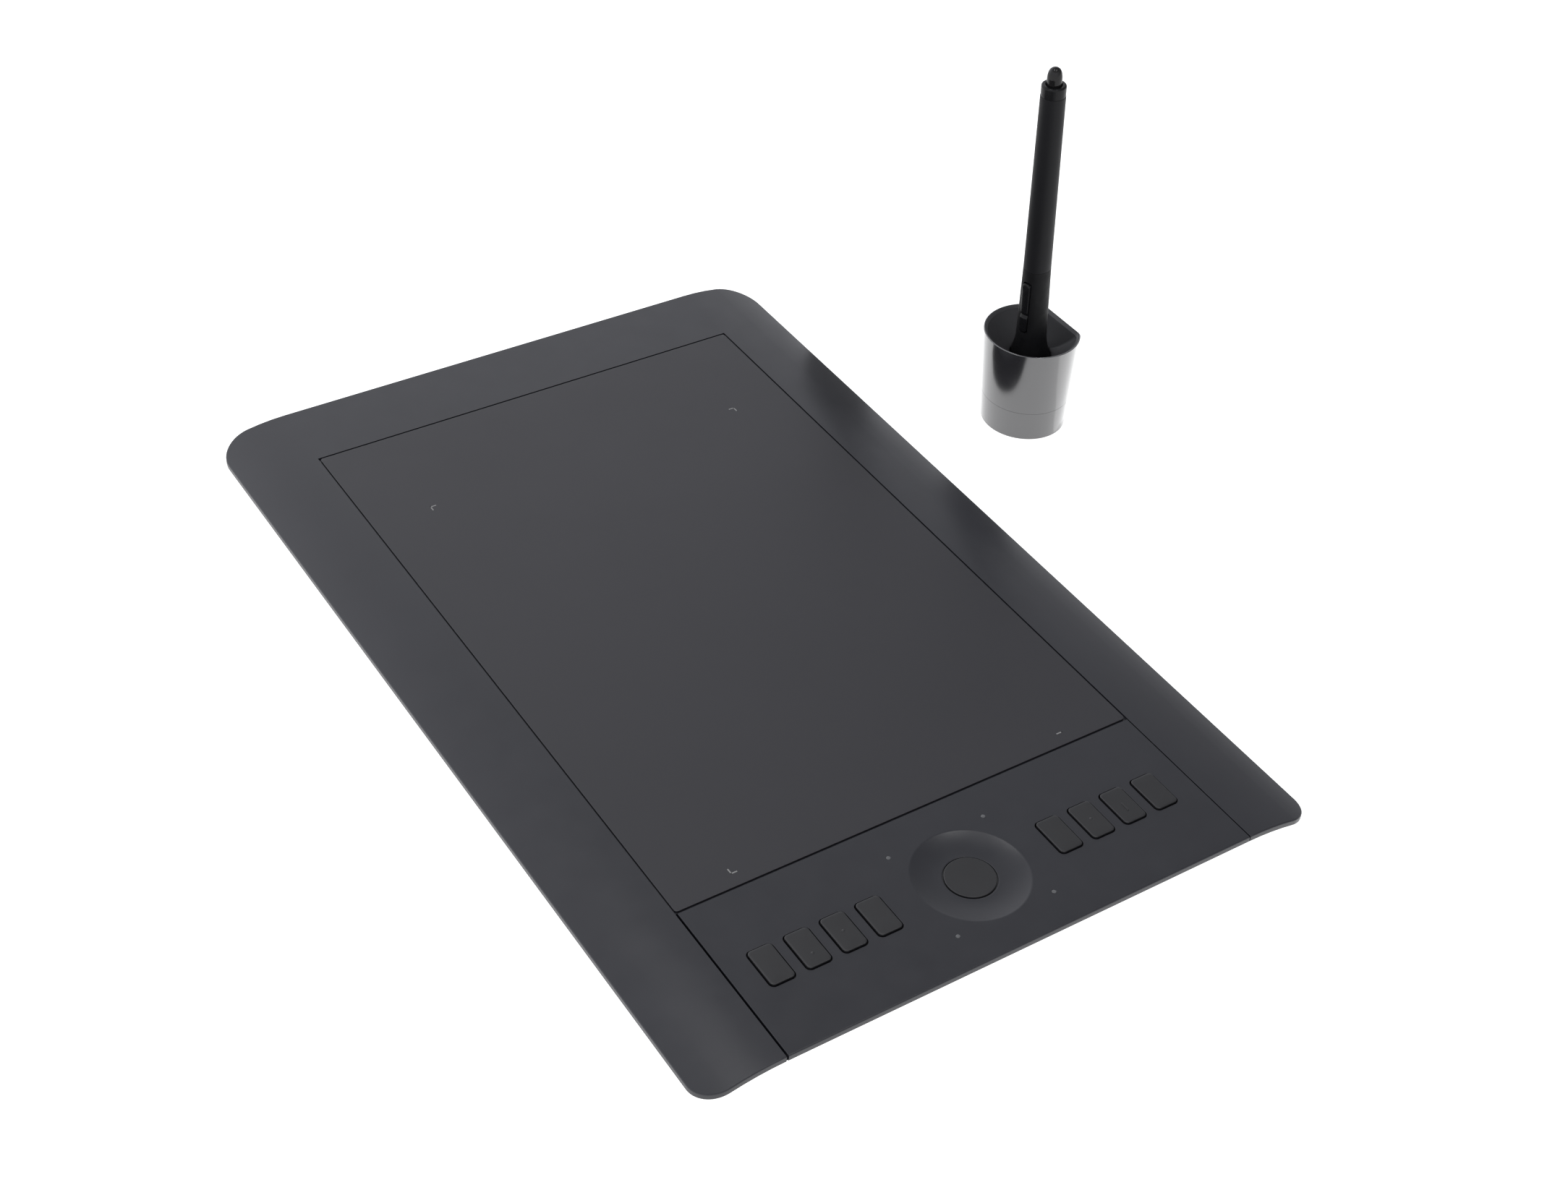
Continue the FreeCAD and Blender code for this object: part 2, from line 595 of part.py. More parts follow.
def electronics():
    board_top = cover_under - 0.05
    sensor_low = board_top - d.sensor_thick
    node("sensor_board", padded("SensorBoard", slab(d.sensor_near, -d.sensor_half, d.sensor_far,
                                                    d.sensor_half, d.board_corner), sensor_low, board_top))
    node("shield_plate", padded("ShieldPlate", slab(d.sensor_near + 1, 1 - d.sensor_half, d.sensor_far - 1,
                                                    d.sensor_half - 1, d.board_corner),
                                sensor_low - 0.05 - d.shield_thick, sensor_low - 0.05))
    low = floor_top + 0.4
    board = low + d.board_thick
    node("main_board", padded("MainBoard", slab(d.board_near, d.board_low_y, d.usb_face - d.board_back,
                                                d.board_high_y, d.board_corner), low, board))
    chips = [(136, -10, 9, 9), (152, 6, 12, 12), (140, 22, 6, 8), (160, 30, 5, 5), (148, -15, 4, 6),
             (170, 12, 5, 7)]
    node("board_chips", copies("BoardChips", chips, lambda name, x, y, w, h: block(
        name, (x, y, board), (x + w, y + h, board + 1.1))))
    seat = d.key_board_low + d.key_board_thick
    crown = seat + d.switch_tall
    half = d.switch_body / 2
    node("key_board", padded("KeyBoard", slab(d.key_board_near, -d.key_board_half, d.key_board_far,
                                              d.key_board_half, d.board_corner), d.key_board_low, seat))
    switch_places = [(d.key_middle, y) for y in key_middles]
    node("key_switches", copies("KeySwitches", switch_places, lambda name, x, y: block(
        name, (x - half, y - half, seat), (x + half, y + half, crown))))
    node("ring_switch", rod("RingSwitch", 2.5, seat, crown, d.key_middle))
    under = d.top_height - d.panel_thick - d.key_free
    ring = cut("RingBoardCut", rod("RingBoardDisc", d.ring_radius - 0.6, under - d.ring_board_thick, under,
                                   d.key_middle),
               rod("RingBoardHole", d.ring_hole + 1.1, under - 2, under + 1, d.key_middle))
    node("ring_touch_board", ring)
    node("leds", copies("Leds", dot_places, lambda name, x, y: block(
        name, (x - 0.8, y - 0.4, seat), (x + 0.8, y + 0.4, seat + 0.6))))
    node("light_pipes", copies("LightPipes", dot_places, lambda name, x, y: rod(
        name, d.dot_radius, seat + d.switch_tall - 0.05, d.top_height + 0.03, x, y)))
    node("ribbon_cable", block("RibbonCable", (-134, -4, 5.65), (130, 4, 5.85)))

    x = d.usb_face
    y = d.usb_y
    base = floor_top + d.usb_seat
    side = d.usb_wide / 2
    sleeve = cut("SocketSleeve",
                 block("SocketOuter", (x - d.usb_deep, y - side, base), (x, y + side, base + d.usb_tall)),
                 block("SocketInner", (x - d.usb_deep + 1, y - side + d.usb_skin, base + d.usb_skin),
                       (x + 1, y + side - d.usb_skin, base + d.usb_tall - d.usb_skin)))
    tongue_low = base + (d.usb_tall - d.tongue_thick) / 2
    tongue = block("SocketTongue", (x - d.usb_deep + 0.5, y - d.tongue_wide / 2, tongue_low),
                   (x - 1, y + d.tongue_wide / 2, tongue_low + d.tongue_thick))
    node("usb_socket", fuse("UsbSocket", sleeve, tongue))

    # power button: a flanged plunger through the far wall, with its switch behind
    face = half_length - d.shell_inset
    plunger = rod_along_x("PowerPlunger", d.power_radius, face - 2.8, face + 0.3, d.power_y, d.power_height)
    flange = rod_along_x("PowerFlange", d.power_radius + d.power_flange, face - 3.4, face - 2.6, d.power_y,
                         d.power_height)
    node("power_button", fuse("PowerButton", plunger, flange))
    node("power_switch", block("PowerSwitch", (face - 6.2, d.power_y - 2, d.power_height - 1.6),
                               (face - 4.1, d.power_y + 2, d.power_height + 1.6)))

    ledge = d.bay_ledge + 0.4
    bay_end = d.base_half_width - d.bay_margin - 0.4
    node("battery", padded("Battery", slab(d.battery_near + ledge, d.bay_inner + ledge, d.battery_far - ledge,
                                           bay_end, size(1.5)), 2.5, 6.2))
    node("wireless_module", padded("WirelessModule", slab(d.module_near + ledge, d.bay_inner + ledge,
                                                          d.module_far - ledge, bay_end, size(1)), 2.5, 5.4))


# ---------------------------------------------------------------- pen

pen_axis = Vector(SIZES["pen_lean_x"], SIZES["pen_lean_y"], 0)
pen_axis.z = math.sqrt(1 - pen_axis.x ** 2 - pen_axis.y ** 2)
pen_turn = Rotation(Vector(0, 0, 1), pen_axis)


def pen_piece(name, item):
    """Stand a piece made along +Z from the nib's tip in its place in the pen stand."""
    item.Placement = Placement(Vector(), pen_turn)
    move(item, d.pen_x, d.pen_y, d.pen_tip)
    return node(name, item)


def pen():
    bore = d.barrel_radius - d.pen_wall
    slot = d.switch_length / 2 + 0.5
    half_slot = d.switch_width / 2 + d.switch_gap
    running = d.nib_radius + d.nib_clearance
    nose_end = d.grip_start - 0.15
    facing = Placement(Vector(), Rotation(Vector(0, 0, 1), SIZES["switch_azimuth"]))
    # nose cone, with a running fit for the nib
    pen_piece("pen_nose", revolved("PenNose", [
        (running, d.nose_start), (d.nose_tip_radius, d.nose_start),
        (d.nose_end_radius, nose_end, d.nose_curve, 1), (3, nose_end), (3, d.grip_start + 3),
        (running, d.grip_start + 3)]))
    pen_piece("nib", revolved("Nib", [
        (0, 0), (d.nib_tip_radius, d.nib_tip_rise, dome(d.nib_tip_radius, d.nib_tip_rise), 1),
        (d.nib_radius, 2), (d.nib_radius, d.nib_length), (0, d.nib_length)]))

    # rubber grip: a bulb near the nose that narrows to the barrel
    grip = revolved("PenGrip", [
        (3.05, d.grip_start), (d.grip_nose_radius, d.grip_start),
        (d.grip_radius, d.grip_widest, d.bulge_curve, 1),
        (d.grip_shoulder_radius, d.grip_shoulder, d.shoulder_curve, 1),
        (d.grip_waist_radius, d.grip_waist, d.waist_curve, -1),
        (d.barrel_radius, d.grip_end), (bore, d.grip_end), (bore, d.grip_start + 6),
        (3.05, d.grip_start + 4)])
    window = block("SwitchWindow", (3.2, -half_slot, d.switch_middle - slot),
                   (12, half_slot, d.switch_middle + slot))
    turned = cut("PenGripCut", grip, window)
    pen_piece("pen_grip", turned)
    turned.Placement = turned.Placement * facing

    pen_piece("pen_barrel", revolved("PenBarrel", [
        (bore, d.grip_end + d.pen_joint), (d.barrel_radius - 0.02, d.grip_end + d.pen_joint),
        (d.collar_radius + 0.1, d.collar_start - d.pen_joint),
        (3.4, d.collar_start - d.pen_joint), (3.4, d.collar_start - 6), (bore, d.collar_start - 8)]))
    hole = d.eraser_radius + d.eraser_clearance
    bead = d.collar_bead
    pen_piece("pen_collar", revolved("PenCollar", [
        (hole, d.collar_start), (d.collar_radius, d.collar_start), (d.collar_radius, d.collar_end - bead),
        (d.collar_radius - bead, d.collar_end, bead, 1), (hole + 0.35, d.collar_end),
        (hole, d.collar_end - 0.5)]))
    # eraser: a bullet whose sides curve in to a round tip
    across = (d.eraser_side_radius - d.eraser_radius) / (d.eraser_side_radius - d.eraser_tip_radius)
    rise = root(1 - across * across)
    tip_middle = d.pen_length - d.eraser_tip_radius
    pen_piece("eraser", revolved("Eraser", [
        (0, d.collar_start - 4), (d.eraser_radius, d.collar_start - 4),
        (d.eraser_radius, tip_middle - (d.eraser_side_radius - d.eraser_tip_radius) * rise),
        (d.eraser_tip_radius * across, tip_middle + d.eraser_tip_radius * rise, d.eraser_side_radius, 1),
        (0, d.pen_length, d.eraser_tip_radius, 1)]))

    # inside: coil and sensor behind the nib, a narrow board behind them
    pen_piece("pen_coil", cut("PenCoil", rod("CoilOuter", 2.6, 18, 30), rod("CoilInner", 1.2, 17, 31)))
    pen_piece("pressure_sensor", revolved("PressureSensor", rectangle(0, 30.2, 2.4, 32.4)))
    pen_piece("pen_board", padded("PenBoard", rectangle(-0.5, -2.6, 0.5, 2.6), 33, 128))

    # rocker switch: a bar with a valley across its middle
    bar = block("SwitchBlock", (bore, -d.switch_width / 2, d.switch_middle - d.switch_length / 2),
                (d.switch_top + 1, d.switch_width / 2, d.switch_middle + d.switch_length / 2))
    crown = doc.addObject("Part::Cylinder", "SwitchCrown")
    bind(crown, "Radius", d.switch_top)
    bind(crown, "Height", d.switch_length + 2)
    move(crown, 0, 0, d.switch_middle - d.switch_length / 2 - 1)
    valley = doc.addObject("Part::Cylinder", "SwitchValley")
    valley.Placement = Placement(Vector(), Rotation(Vector(1, 0, 0), -90))
    bind(valley, "Radius", d.valley_radius)
    bind(valley, "Height", 12)
    move(valley, d.switch_top + d.valley_radius - d.valley_depth, -6, d.switch_pivot)
    pin = doc.addObject("Part::Cylinder", "SwitchPin")
    pin.Placement = Placement(Vector(), Rotation(Vector(1, 0, 0), -90))
    bind(pin, "Radius", d.switch_pin_radius)
    bind(pin, "Height", d.switch_width + 0.5)
    move(pin, d.switch_pin_reach, -d.switch_width / 2 - 0.25, d.switch_pivot)
    rocker = fuse("SideSwitch", cut("SwitchBar", common("SwitchBlank", bar, crown), valley), pin)
    pen_piece("side_switch", rocker)
    rocker.Placement = rocker.Placement * facing


# ---------------------------------------------------------------- pen stand

def stand_outline(inset, height):
    """The stand's plan at a height, set in by a wall.  It widens from the foot to the rim, and its
    middle moves from the flat side towards +Y, so that the flat face stands upright."""
    part = size(height) / d.stand_height
    radius = d.stand_foot_radius + (d.stand_rim_radius - d.stand_foot_radius) * part - inset
    flat = d.stand_foot_flat + (d.stand_rim_flat - d.stand_foot_flat) * part - inset
    return one_flat(radius, flat, d.stand_corner - inset / 2, d.stand_shift * (2 * part - 1))


def one_flat(radius, flat, corner, middle=0):
    """A round outline with one flat side towards -Y, joined to it by rounded corners."""
    across = root((radius - corner) * (radius - corner) - (flat - corner) * (flat - corner))
    reach = radius / (radius - corner)
    side_x, side_y = across * reach, middle - (flat - corner) * reach
    low_y = middle - flat
    return [
        (across, low_y), (side_x, side_y, corner, 1), (0, middle + radius, radius, 1),
        (-side_x, side_y, radius, 1), (-across, low_y, corner, 1)]


def loft(name, levels):
    """A solid through outlines at rising heights; each level is (height, outline)."""
    sections = []
    for number, (height, points) in enumerate(levels, start=1):
        outline = doc.addObject("Sketcher::SketchObject", f"{name}Level{number}")
        bind(outline, "Placement.Base.z", height)
        draw(outline, points)
        sections.append(outline)
    doc.recompute()
    item = doc.addObject("Part::Loft", name)
    item.Sections = sections
    item.Solid = True
    item.Ruled = True
    return item


def tapered(name, inset, low, high):
    """A length of the stand's own form, set in by a wall."""
    return loft(name, [(low, stand_outline(size(inset), low)), (high, stand_outline(size(inset), high))])


def stand_piece(name, item):
    return node(name, move(item, d.stand_x, d.stand_y))


def stand():
    base_top = d.stand_seam - d.seam_gap / 2
    cup_low = d.stand_seam + d.seam_gap / 2
    foot = d.stand_pad
    stand_piece("stand_foot", tapered("StandFoot", d.stand_pad_inset, 0, foot))
    base = cut("StandBase", tapered("BaseOuter", 0, foot, base_top),
               rod("WeightPocket", d.weight_radius + 0.1, 0, d.weight_top + 0.1),
               rod("NibWell", d.tray_radius + 0.2, d.tray_low - 0.1, 20))
    stand_piece("stand_base", base)
    weight = rectangle(0, foot + 0.05, d.weight_radius, d.weight_top)
    stand_piece("stand_weight", revolved("StandWeight", weight))
    angles = [math.radians(36 * i) for i in range(10)]
    ring = [(d.nib_circle * math.cos(a), d.nib_circle * math.sin(a)) for a in angles]
    pit = d.tray_low + 0.6
    holes = [rod(f"NibHole{i}", d.nib_radius + 0.2, pit, 20, x, y) for i, (x, y) in enumerate(ring, start=1)]
    stand_piece("nib_tray", cut("NibTray", rod("TrayDisc", d.tray_radius, d.tray_low, d.tray_top),
                                rod("TrayWell", d.tray_well, 4, 20), *holes))
    stand_piece("spare_nibs", copies("SpareNibs", ring, lambda name, x, y: rod(
        name, d.nib_radius, pit + 0.1, d.spare_top, x, y)))
    stand_piece("nib_ring", cut("NibRing", rod("RingOuter", 6.9, d.tray_top + 0.05, 10),
                                rod("RingInner", 5.7, 8, 11)))

    stand_piece("stand_cup", cut("StandCup", tapered("CupOuter", 0, cup_low, d.stand_height),
                                 tapered("CupHollow", d.stand_wall, cup_low - 0.5, d.stand_height + 0.5)))

    # inner funnel: a D-shaped bowl with a throat for the pen's grip and a cone for its nose
    lip = d.stand_height - d.lip_step
    stem = revolved("LinerStem", [(0, 8), (3.3, 8), (5.4, cup_low + 0.5), (0, cup_low + 0.5)])
    body = fuse("LinerBlock", tapered("LinerOuter", d.stand_wall + 0.05, cup_low, lip), stem)
    throat = d.throat_height
    mouth = loft("LinerMouth", [
        (throat, one_flat(d.throat_radius, d.throat_flat, size(3))),
        (lip + 0.5, stand_outline(d.stand_wall + 1, lip + 0.5))])
    funnel = revolved("LinerThroat", [
        (0, 9), (2.4, 9), (5.6, 19.5), (8.4, 26.5), (d.funnel_radius, throat + 1), (0, throat + 1)])
    stand_piece("stand_liner", cut("StandLiner", body, mouth, funnel))


# ---------------------------------------------------------------- build, check and write

bezel_frame()
drawing_surface()
keys_panel()
shortcut_keys()
ring_button()
bottom_shell()
bay_covers()
feet_and_screws()
electronics()
pen()
stand()
doc.recompute()

for item in doc.Objects:
    if "Invalid" in item.State or "Error" in item.State:
        raise RuntimeError(f"{item.Label} failed: {item.State}")
for item in nodes:
    shape = item.Shape
    if shape.isNull() or not shape.isValid() or not shape.Solids:
        raise RuntimeError(f"{item.Label} has no valid solid")

os.makedirs("parts", exist_ok=True)
for item in nodes:
    item.Shape.exportStep(f"parts/{item.Label}.step")
    box = item.Shape.optimalBoundingBox()
    print(f"{item.Label:18s} solids {len(item.Shape.Solids):2d} volume {item.Shape.Volume:10.1f} "
          f"x {box.XMin:8.2f} {box.XMax:8.2f} y {box.YMin:8.2f} {box.YMax:8.2f} "
          f"z {box.ZMin:7.2f} {box.ZMax:7.2f}")
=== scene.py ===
import json
import math

import bmesh
import bpy
from mathutils import Matrix, Vector


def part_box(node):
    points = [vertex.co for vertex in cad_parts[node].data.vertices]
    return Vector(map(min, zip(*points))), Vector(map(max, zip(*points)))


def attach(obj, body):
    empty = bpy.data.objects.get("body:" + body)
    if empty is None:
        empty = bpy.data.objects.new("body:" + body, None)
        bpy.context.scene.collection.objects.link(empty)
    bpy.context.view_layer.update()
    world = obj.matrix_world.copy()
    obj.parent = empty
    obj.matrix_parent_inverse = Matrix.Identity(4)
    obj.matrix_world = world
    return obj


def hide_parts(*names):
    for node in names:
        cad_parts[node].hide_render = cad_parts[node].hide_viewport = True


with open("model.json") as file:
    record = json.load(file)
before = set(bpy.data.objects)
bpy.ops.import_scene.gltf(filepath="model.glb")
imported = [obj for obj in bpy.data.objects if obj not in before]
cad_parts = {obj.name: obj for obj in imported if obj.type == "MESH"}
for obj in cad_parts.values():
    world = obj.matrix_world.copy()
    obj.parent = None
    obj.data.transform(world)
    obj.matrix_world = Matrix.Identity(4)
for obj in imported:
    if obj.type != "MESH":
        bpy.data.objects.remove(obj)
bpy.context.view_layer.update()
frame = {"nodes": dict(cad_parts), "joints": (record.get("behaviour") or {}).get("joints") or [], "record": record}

MM = 0.001

# the room's brightness by direction, what each sheet of the studio gives off, and the lights' power
BRIGHT_SIDE = 1.4
DIM_SIDE = 0.5
HORIZON = 1.05
OVERHEAD = 0.60
CORNER_SHADE = 0.8
NEAR_SHADE = 0.82
FAR_SHADE = 1.15
ROOM_COLOR = (0.97, 0.98, 1.03, 1)
FLOOR_GLOW = 1.1
# the cards' and the flag's glow show only as painted reflections in glossy surfaces
WHITE_GLOW = 1.5
BLACK_GLOW = 0.02
FLAG_GLOW = 0.22
STAGE_GREY = 0.3
STRIP_POWER = 2.2


# ------------------------------------------------------------------ camera, floor and light

def make_camera():
    """The photograph's view: over the shortcut keys' end, from the side away from the pen stand."""
    place = Vector((-0.5654, 0.3782, 0.5960))
    heading, dip, roll = math.radians(-125.547), math.radians(40.137), math.radians(4.385)
    data = bpy.data.cameras.new("camera")
    data.lens = 54.76
    data.clip_start = 0.01
    camera = bpy.data.objects.new("camera", data)
    camera.matrix_world = (Matrix.Translation(place) @ Matrix.Rotation(heading, 4, "Z")
                           @ Matrix.Rotation(math.pi / 2 - dip, 4, "X") @ Matrix.Rotation(roll, 4, "Z"))
    bpy.context.scene.collection.objects.link(camera)
    bpy.context.scene.camera = camera


def map_range(tree, source, values):
    node = tree.nodes.new("ShaderNodeMapRange")
    for key, value in zip(("From Min", "From Max", "To Min", "To Max"), values):
        node.inputs[key].default_value = value
    tree.links.new(source, node.inputs["Value"])
    return node.outputs["Result"]


def combine(tree, operation, first, second):
    node = tree.nodes.new("ShaderNodeMath")
    node.operation = operation
    tree.links.new(first, node.inputs[0])
    tree.links.new(second, node.inputs[1])
    return node.outputs[0]


def stage_sheet(name, corners, color, glow, height=0.0):
    """A flat, self-lit sheet of the studio, in millimetres."""
    mesh = bpy.data.meshes.new(name)
    mesh.from_pydata([(x * MM, y * MM, height * MM) for x, y in corners], [], [tuple(range(len(corners)))])
    item = bpy.data.objects.new(name, mesh)
    bpy.context.scene.collection.objects.link(item)
    material = bpy.data.materials.new(name)
    material.use_nodes = True
    shader = material.node_tree.nodes["Principled BSDF"]
    shader.inputs["Base Color"].default_value = (color, color, color, 1)
    shader.inputs["Roughness"].default_value = 0.9
    shader.inputs["Specular IOR Level"].default_value = 0.1
    shader.inputs["Emission Color"].default_value = (1, 1, 1, 1)
    shader.inputs["Emission Strength"].default_value = glow
    mesh.materials.append(material)
    return item


def make_room():
    """A white room: brighter at +Y, at +X and along the horizon, and dimmer overhead."""
    world = bpy.data.worlds.new("studio")
    world.use_nodes = True
    tree = world.node_tree
    split = tree.nodes.new("ShaderNodeSeparateXYZ")
    tree.links.new(tree.nodes.new("ShaderNodeTexCoord").outputs["Generated"], split.inputs[0])
    sideways = map_range(tree, split.outputs["Y"], (-0.85, 0.2, DIM_SIDE, BRIGHT_SIDE))
    corner = map_range(tree, split.outputs["Y"], (-0.8, -0.5, CORNER_SHADE, 1))
    depth = map_range(tree, split.outputs["X"], (0.44, 0.66, NEAR_SHADE, FAR_SHADE))
    upward = map_range(tree, split.outputs["Z"], (0.56, 0.74, 1.22, OVERHEAD))
    band = map_range(tree, split.outputs["Z"], (0.08, 0.30, HORIZON, 0))
    room = combine(tree, "MULTIPLY", combine(tree, "MULTIPLY", sideways, corner), upward)
    light = combine(tree, "MULTIPLY", combine(tree, "MAXIMUM", room, band), depth)
    tree.links.new(light, tree.nodes["Background"].inputs["Strength"])
    tree.nodes["Background"].inputs["Color"].default_value = ROOM_COLOR
    bpy.context.scene.world = world


def make_stage():
    """A white table, with cards and a flag that only glossy surfaces mirror: painted reflections, which cast no
    shadow and light no matt surface.
    """
    reach, card_height = 6000, 0.3
    table = [(-reach, -reach), (reach, -reach), (reach, reach), (-reach, reach)]
    stage_sheet("floor", table, STAGE_GREY, FLOOR_GLOW)
    # a black card between the tablet and the pen stand, a painted dark reflection on the pen stand
    black = [(-4, -134), (12, -136), (22, -139.5), (36, -141.5), (80, -141.5), (98, -136), (98, -117),
             (-4, -117)]
    # a white card behind the pen stand, cut away to pass round its foot: it glows, a painted bright band in the
    # stand's reflection
    white = [(-60, -241), (6.6, -212), (25.8, -203.6), (38.4, -189), (39.5, -196), (45, -200.5), (70, -200.5),
             (70, -320), (-60, -320)]
    cards = [stage_sheet("black_card", black, 0.0, BLACK_GLOW, card_height),
             stage_sheet("white_card", white, STAGE_GREY, WHITE_GLOW, card_height)]
    # a narrow dark flag, upright beside the far end of the wing: wide below, a thin strip above. It is a painted
    # dark reflection on the wing and the sheet beside it
    outline = [(-18, 0), (18, 0), (18, 48), (6, 60), (6, 150), (-6, 150), (-6, 60), (-18, 48)]
    flag = stage_sheet("flag", outline, 0.0, FLAG_GLOW)
    flag.matrix_world = (Matrix.Translation((0.1426, -0.1605, 0)) @ Matrix.Rotation(math.radians(47), 4, "Z")
                         @ Matrix.Rotation(math.pi / 2, 4, "X"))
    for card in (*cards, flag):
        card.visible_camera = card.visible_diffuse = card.visible_shadow = False


def make_strips():
    """Two strip lights overhead, side by side."""
    length, width, height, turn = 0.55, 0.12, 1.3, math.radians(-40)
    for number, side in enumerate((-0.22, 0.22)):
        data = bpy.data.lights.new(f"strip{number}", "AREA")
        data.shape = "RECTANGLE"
        data.size, data.size_y = length, width
        data.energy = STRIP_POWER
        light = bpy.data.objects.new(f"strip{number}", data)
        light.matrix_world = Matrix.Translation((side, side - 0.1, height)) @ Matrix.Rotation(turn, 4, "Z")
        bpy.context.scene.collection.objects.link(light)


# ------------------------------------------------------------------ materials

class Nodes:
    """Short names for building one material's node tree."""

    def __init__(self, name):
        self.material = bpy.data.materials.new(name)
        self.material.use_nodes = True
        self.tree = self.material.node_tree
        self.shader = self.tree.nodes["Principled BSDF"]
        self.place = self.add("ShaderNodeTexCoord").outputs["Object"]

    def add(self, kind, **settings):
        node = self.tree.nodes.new(kind)
        for key, value in settings.items():
            setattr(node, key, value)
        return node

    def link(self, source, target):
        self.tree.links.new(source, target)

    def noise(self, grain, detail=3, stretch=None):
        """Noise whose features are about one grain, in metres, across."""
        node = self.add("ShaderNodeTexNoise")
        node.inputs["Scale"].default_value = 1 / grain
        node.inputs["Detail"].default_value = detail
        place = self.place
        if stretch:
            mapping = self.add("ShaderNodeMapping")
            mapping.inputs["Scale"].default_value = stretch
            self.link(place, mapping.inputs["Vector"])
            place = mapping.outputs["Vector"]
        self.link(place, node.inputs["Vector"])
        return node.outputs["Fac"]

    def spread(self, source, low, high, start=0.3, stop=0.7):
        """Map a texture to a range."""
        node = self.add("ShaderNodeMapRange")
        for key, value in (("From Min", start), ("From Max", stop), ("To Min", low), ("To Max", high)):
            node.inputs[key].default_value = value
        self.link(source, node.inputs["Value"])
        return node.outputs["Result"]

    def tint(self, factor, first, second):
        node = self.add("ShaderNodeMix", data_type="RGBA")
        self.link(factor, node.inputs["Factor"])
        for socket, color in ((node.inputs["A"], first), (node.inputs["B"], second)):
            if isinstance(color, bpy.types.NodeSocket):
                self.link(color, socket)
            else:
                socket.default_value = (*color, 1)
        return node.outputs["Result"]

    def bump(self, *layers):
        """Stack height layers: each is (height, strength, depth in metres)."""
        normal = None
        for height, strength, depth in layers:
            node = self.add("ShaderNodeBump")
            node.inputs["Strength"].default_value = strength
            node.inputs["Distance"].default_value = depth
            self.link(height, node.inputs["Height"])
            if normal:
                self.link(normal, node.inputs["Normal"])
            normal = node.outputs["Normal"]
        self.link(normal, self.shader.inputs["Normal"])

    def set(self, **constants):
        for key, value in constants.items():
            self.shader.inputs[key.replace("_", " ")].default_value = value


def edge_mask(n, radius):
    """White on edges sharper than the radius, black on flats."""
    bevel = n.add("ShaderNodeBevel", samples=4)
    bevel.inputs["Radius"].default_value = radius
    geometry = n.add("ShaderNodeNewGeometry")
    dot = n.add("ShaderNodeVectorMath", operation="DOT_PRODUCT")
    n.link(bevel.outputs["Normal"], dot.inputs[0])
    n.link(geometry.outputs["Normal"], dot.inputs[1])
    return n.spread(dot.outputs["Value"], 1, 0, 0.82, 0.985)


def plastic(name, color, roughness, grain=0.00016, depth=0.000012, mottle=0.07, wear=0.25, specular=0.5):
    """Moulded plastic: fine grain, faint mottling and polish, edges burnished a little lighter."""
    n = Nodes(name)
    cloud = n.noise(0.035, 5)
    dark = tuple(c * (1 - mottle) for c in color)
    light = tuple(c * (1 + mottle) for c in color)
    body = n.tint(n.spread(cloud, 0, 1), dark, light)
    if wear:
        scuffs = n.add("ShaderNodeMath", operation="MULTIPLY")
        n.link(edge_mask(n, 0.0004), scuffs.inputs[0])
        n.link(n.spread(n.noise(0.006, 4), 0, wear, 0.4, 0.65), scuffs.inputs[1])
        body = n.tint(scuffs.outputs[0], body, tuple(min(1, c * 2.2 + 0.02) for c in color))
    n.link(body, n.shader.inputs["Base Color"])
    n.link(n.spread(n.noise(0.011, 6), roughness - 0.03, roughness + 0.03), n.shader.inputs["Roughness"])
    n.bump((n.noise(grain, 2), 0.6, depth), (n.noise(grain * 3.5, 2), 0.25, depth))
    n.set(Specular_IOR_Level=specular)
    return n.material


def sheet_material():
    """Satin drawing sheet: a fine even tooth, its gloss varying faintly from place to place."""
    n = Nodes("sheet")
    cloud = n.noise(0.06, 4)
    tooth = n.noise(0.00012, 1)
    base = n.tint(n.spread(cloud, 0, 1), (0.0085, 0.0082, 0.0115), (0.0098, 0.0095, 0.0130))
    n.link(n.tint(n.spread(tooth, 0, 0.16), base, (0.02, 0.02, 0.023)), n.shader.inputs["Base Color"])
    n.link(n.spread(n.noise(0.02, 6), 0.42, 0.45), n.shader.inputs["Roughness"])
    n.bump((tooth, 0.5, 0.00001))
    n.set(Specular_IOR_Level=0.55)
    return n.material


def gloss(name, color, roughness=0.16, coat=1.0, specular=0.9):
    """Polished black plastic with hairline wiping marks and a few dull finger smudges."""
    n = Nodes(name)
    cloud = n.noise(0.012, 5)
    pale = tuple(c * 1.12 for c in color)
    n.link(n.tint(n.spread(cloud, 0, 1), color, pale), n.shader.inputs["Base Color"])
    smudge = n.spread(n.noise(0.009, 7), roughness, roughness + 0.06, 0.5, 0.75)
    n.link(smudge, n.shader.inputs["Roughness"])
    n.bump((n.noise(0.0009, 3, stretch=(1, 1, 0.08)), 0.06, 0.000004), (n.noise(0.02, 2), 0.05, 0.00008))
    n.set(Specular_IOR_Level=specular, Coat_Weight=coat, Coat_Roughness=0.16, Coat_IOR=1.68)
    return n.material


def rubber(name, color, roughness=0.75, specular=0.35):
    """Matt moulded rubber with a dusty bloom."""
    n = Nodes(name)
    dust = n.spread(n.noise(0.004, 6), 0, 0.35, 0.45, 0.75)
    n.link(n.tint(dust, color, tuple(c * 1.7 + 0.002 for c in color)), n.shader.inputs["Base Color"])
    n.link(n.spread(n.noise(0.003, 5), roughness - 0.08, roughness + 0.08), n.shader.inputs["Roughness"])
    n.bump((n.noise(0.0002, 2), 0.5, 0.00002))
    n.set(Specular_IOR_Level=specular)
    return n.material


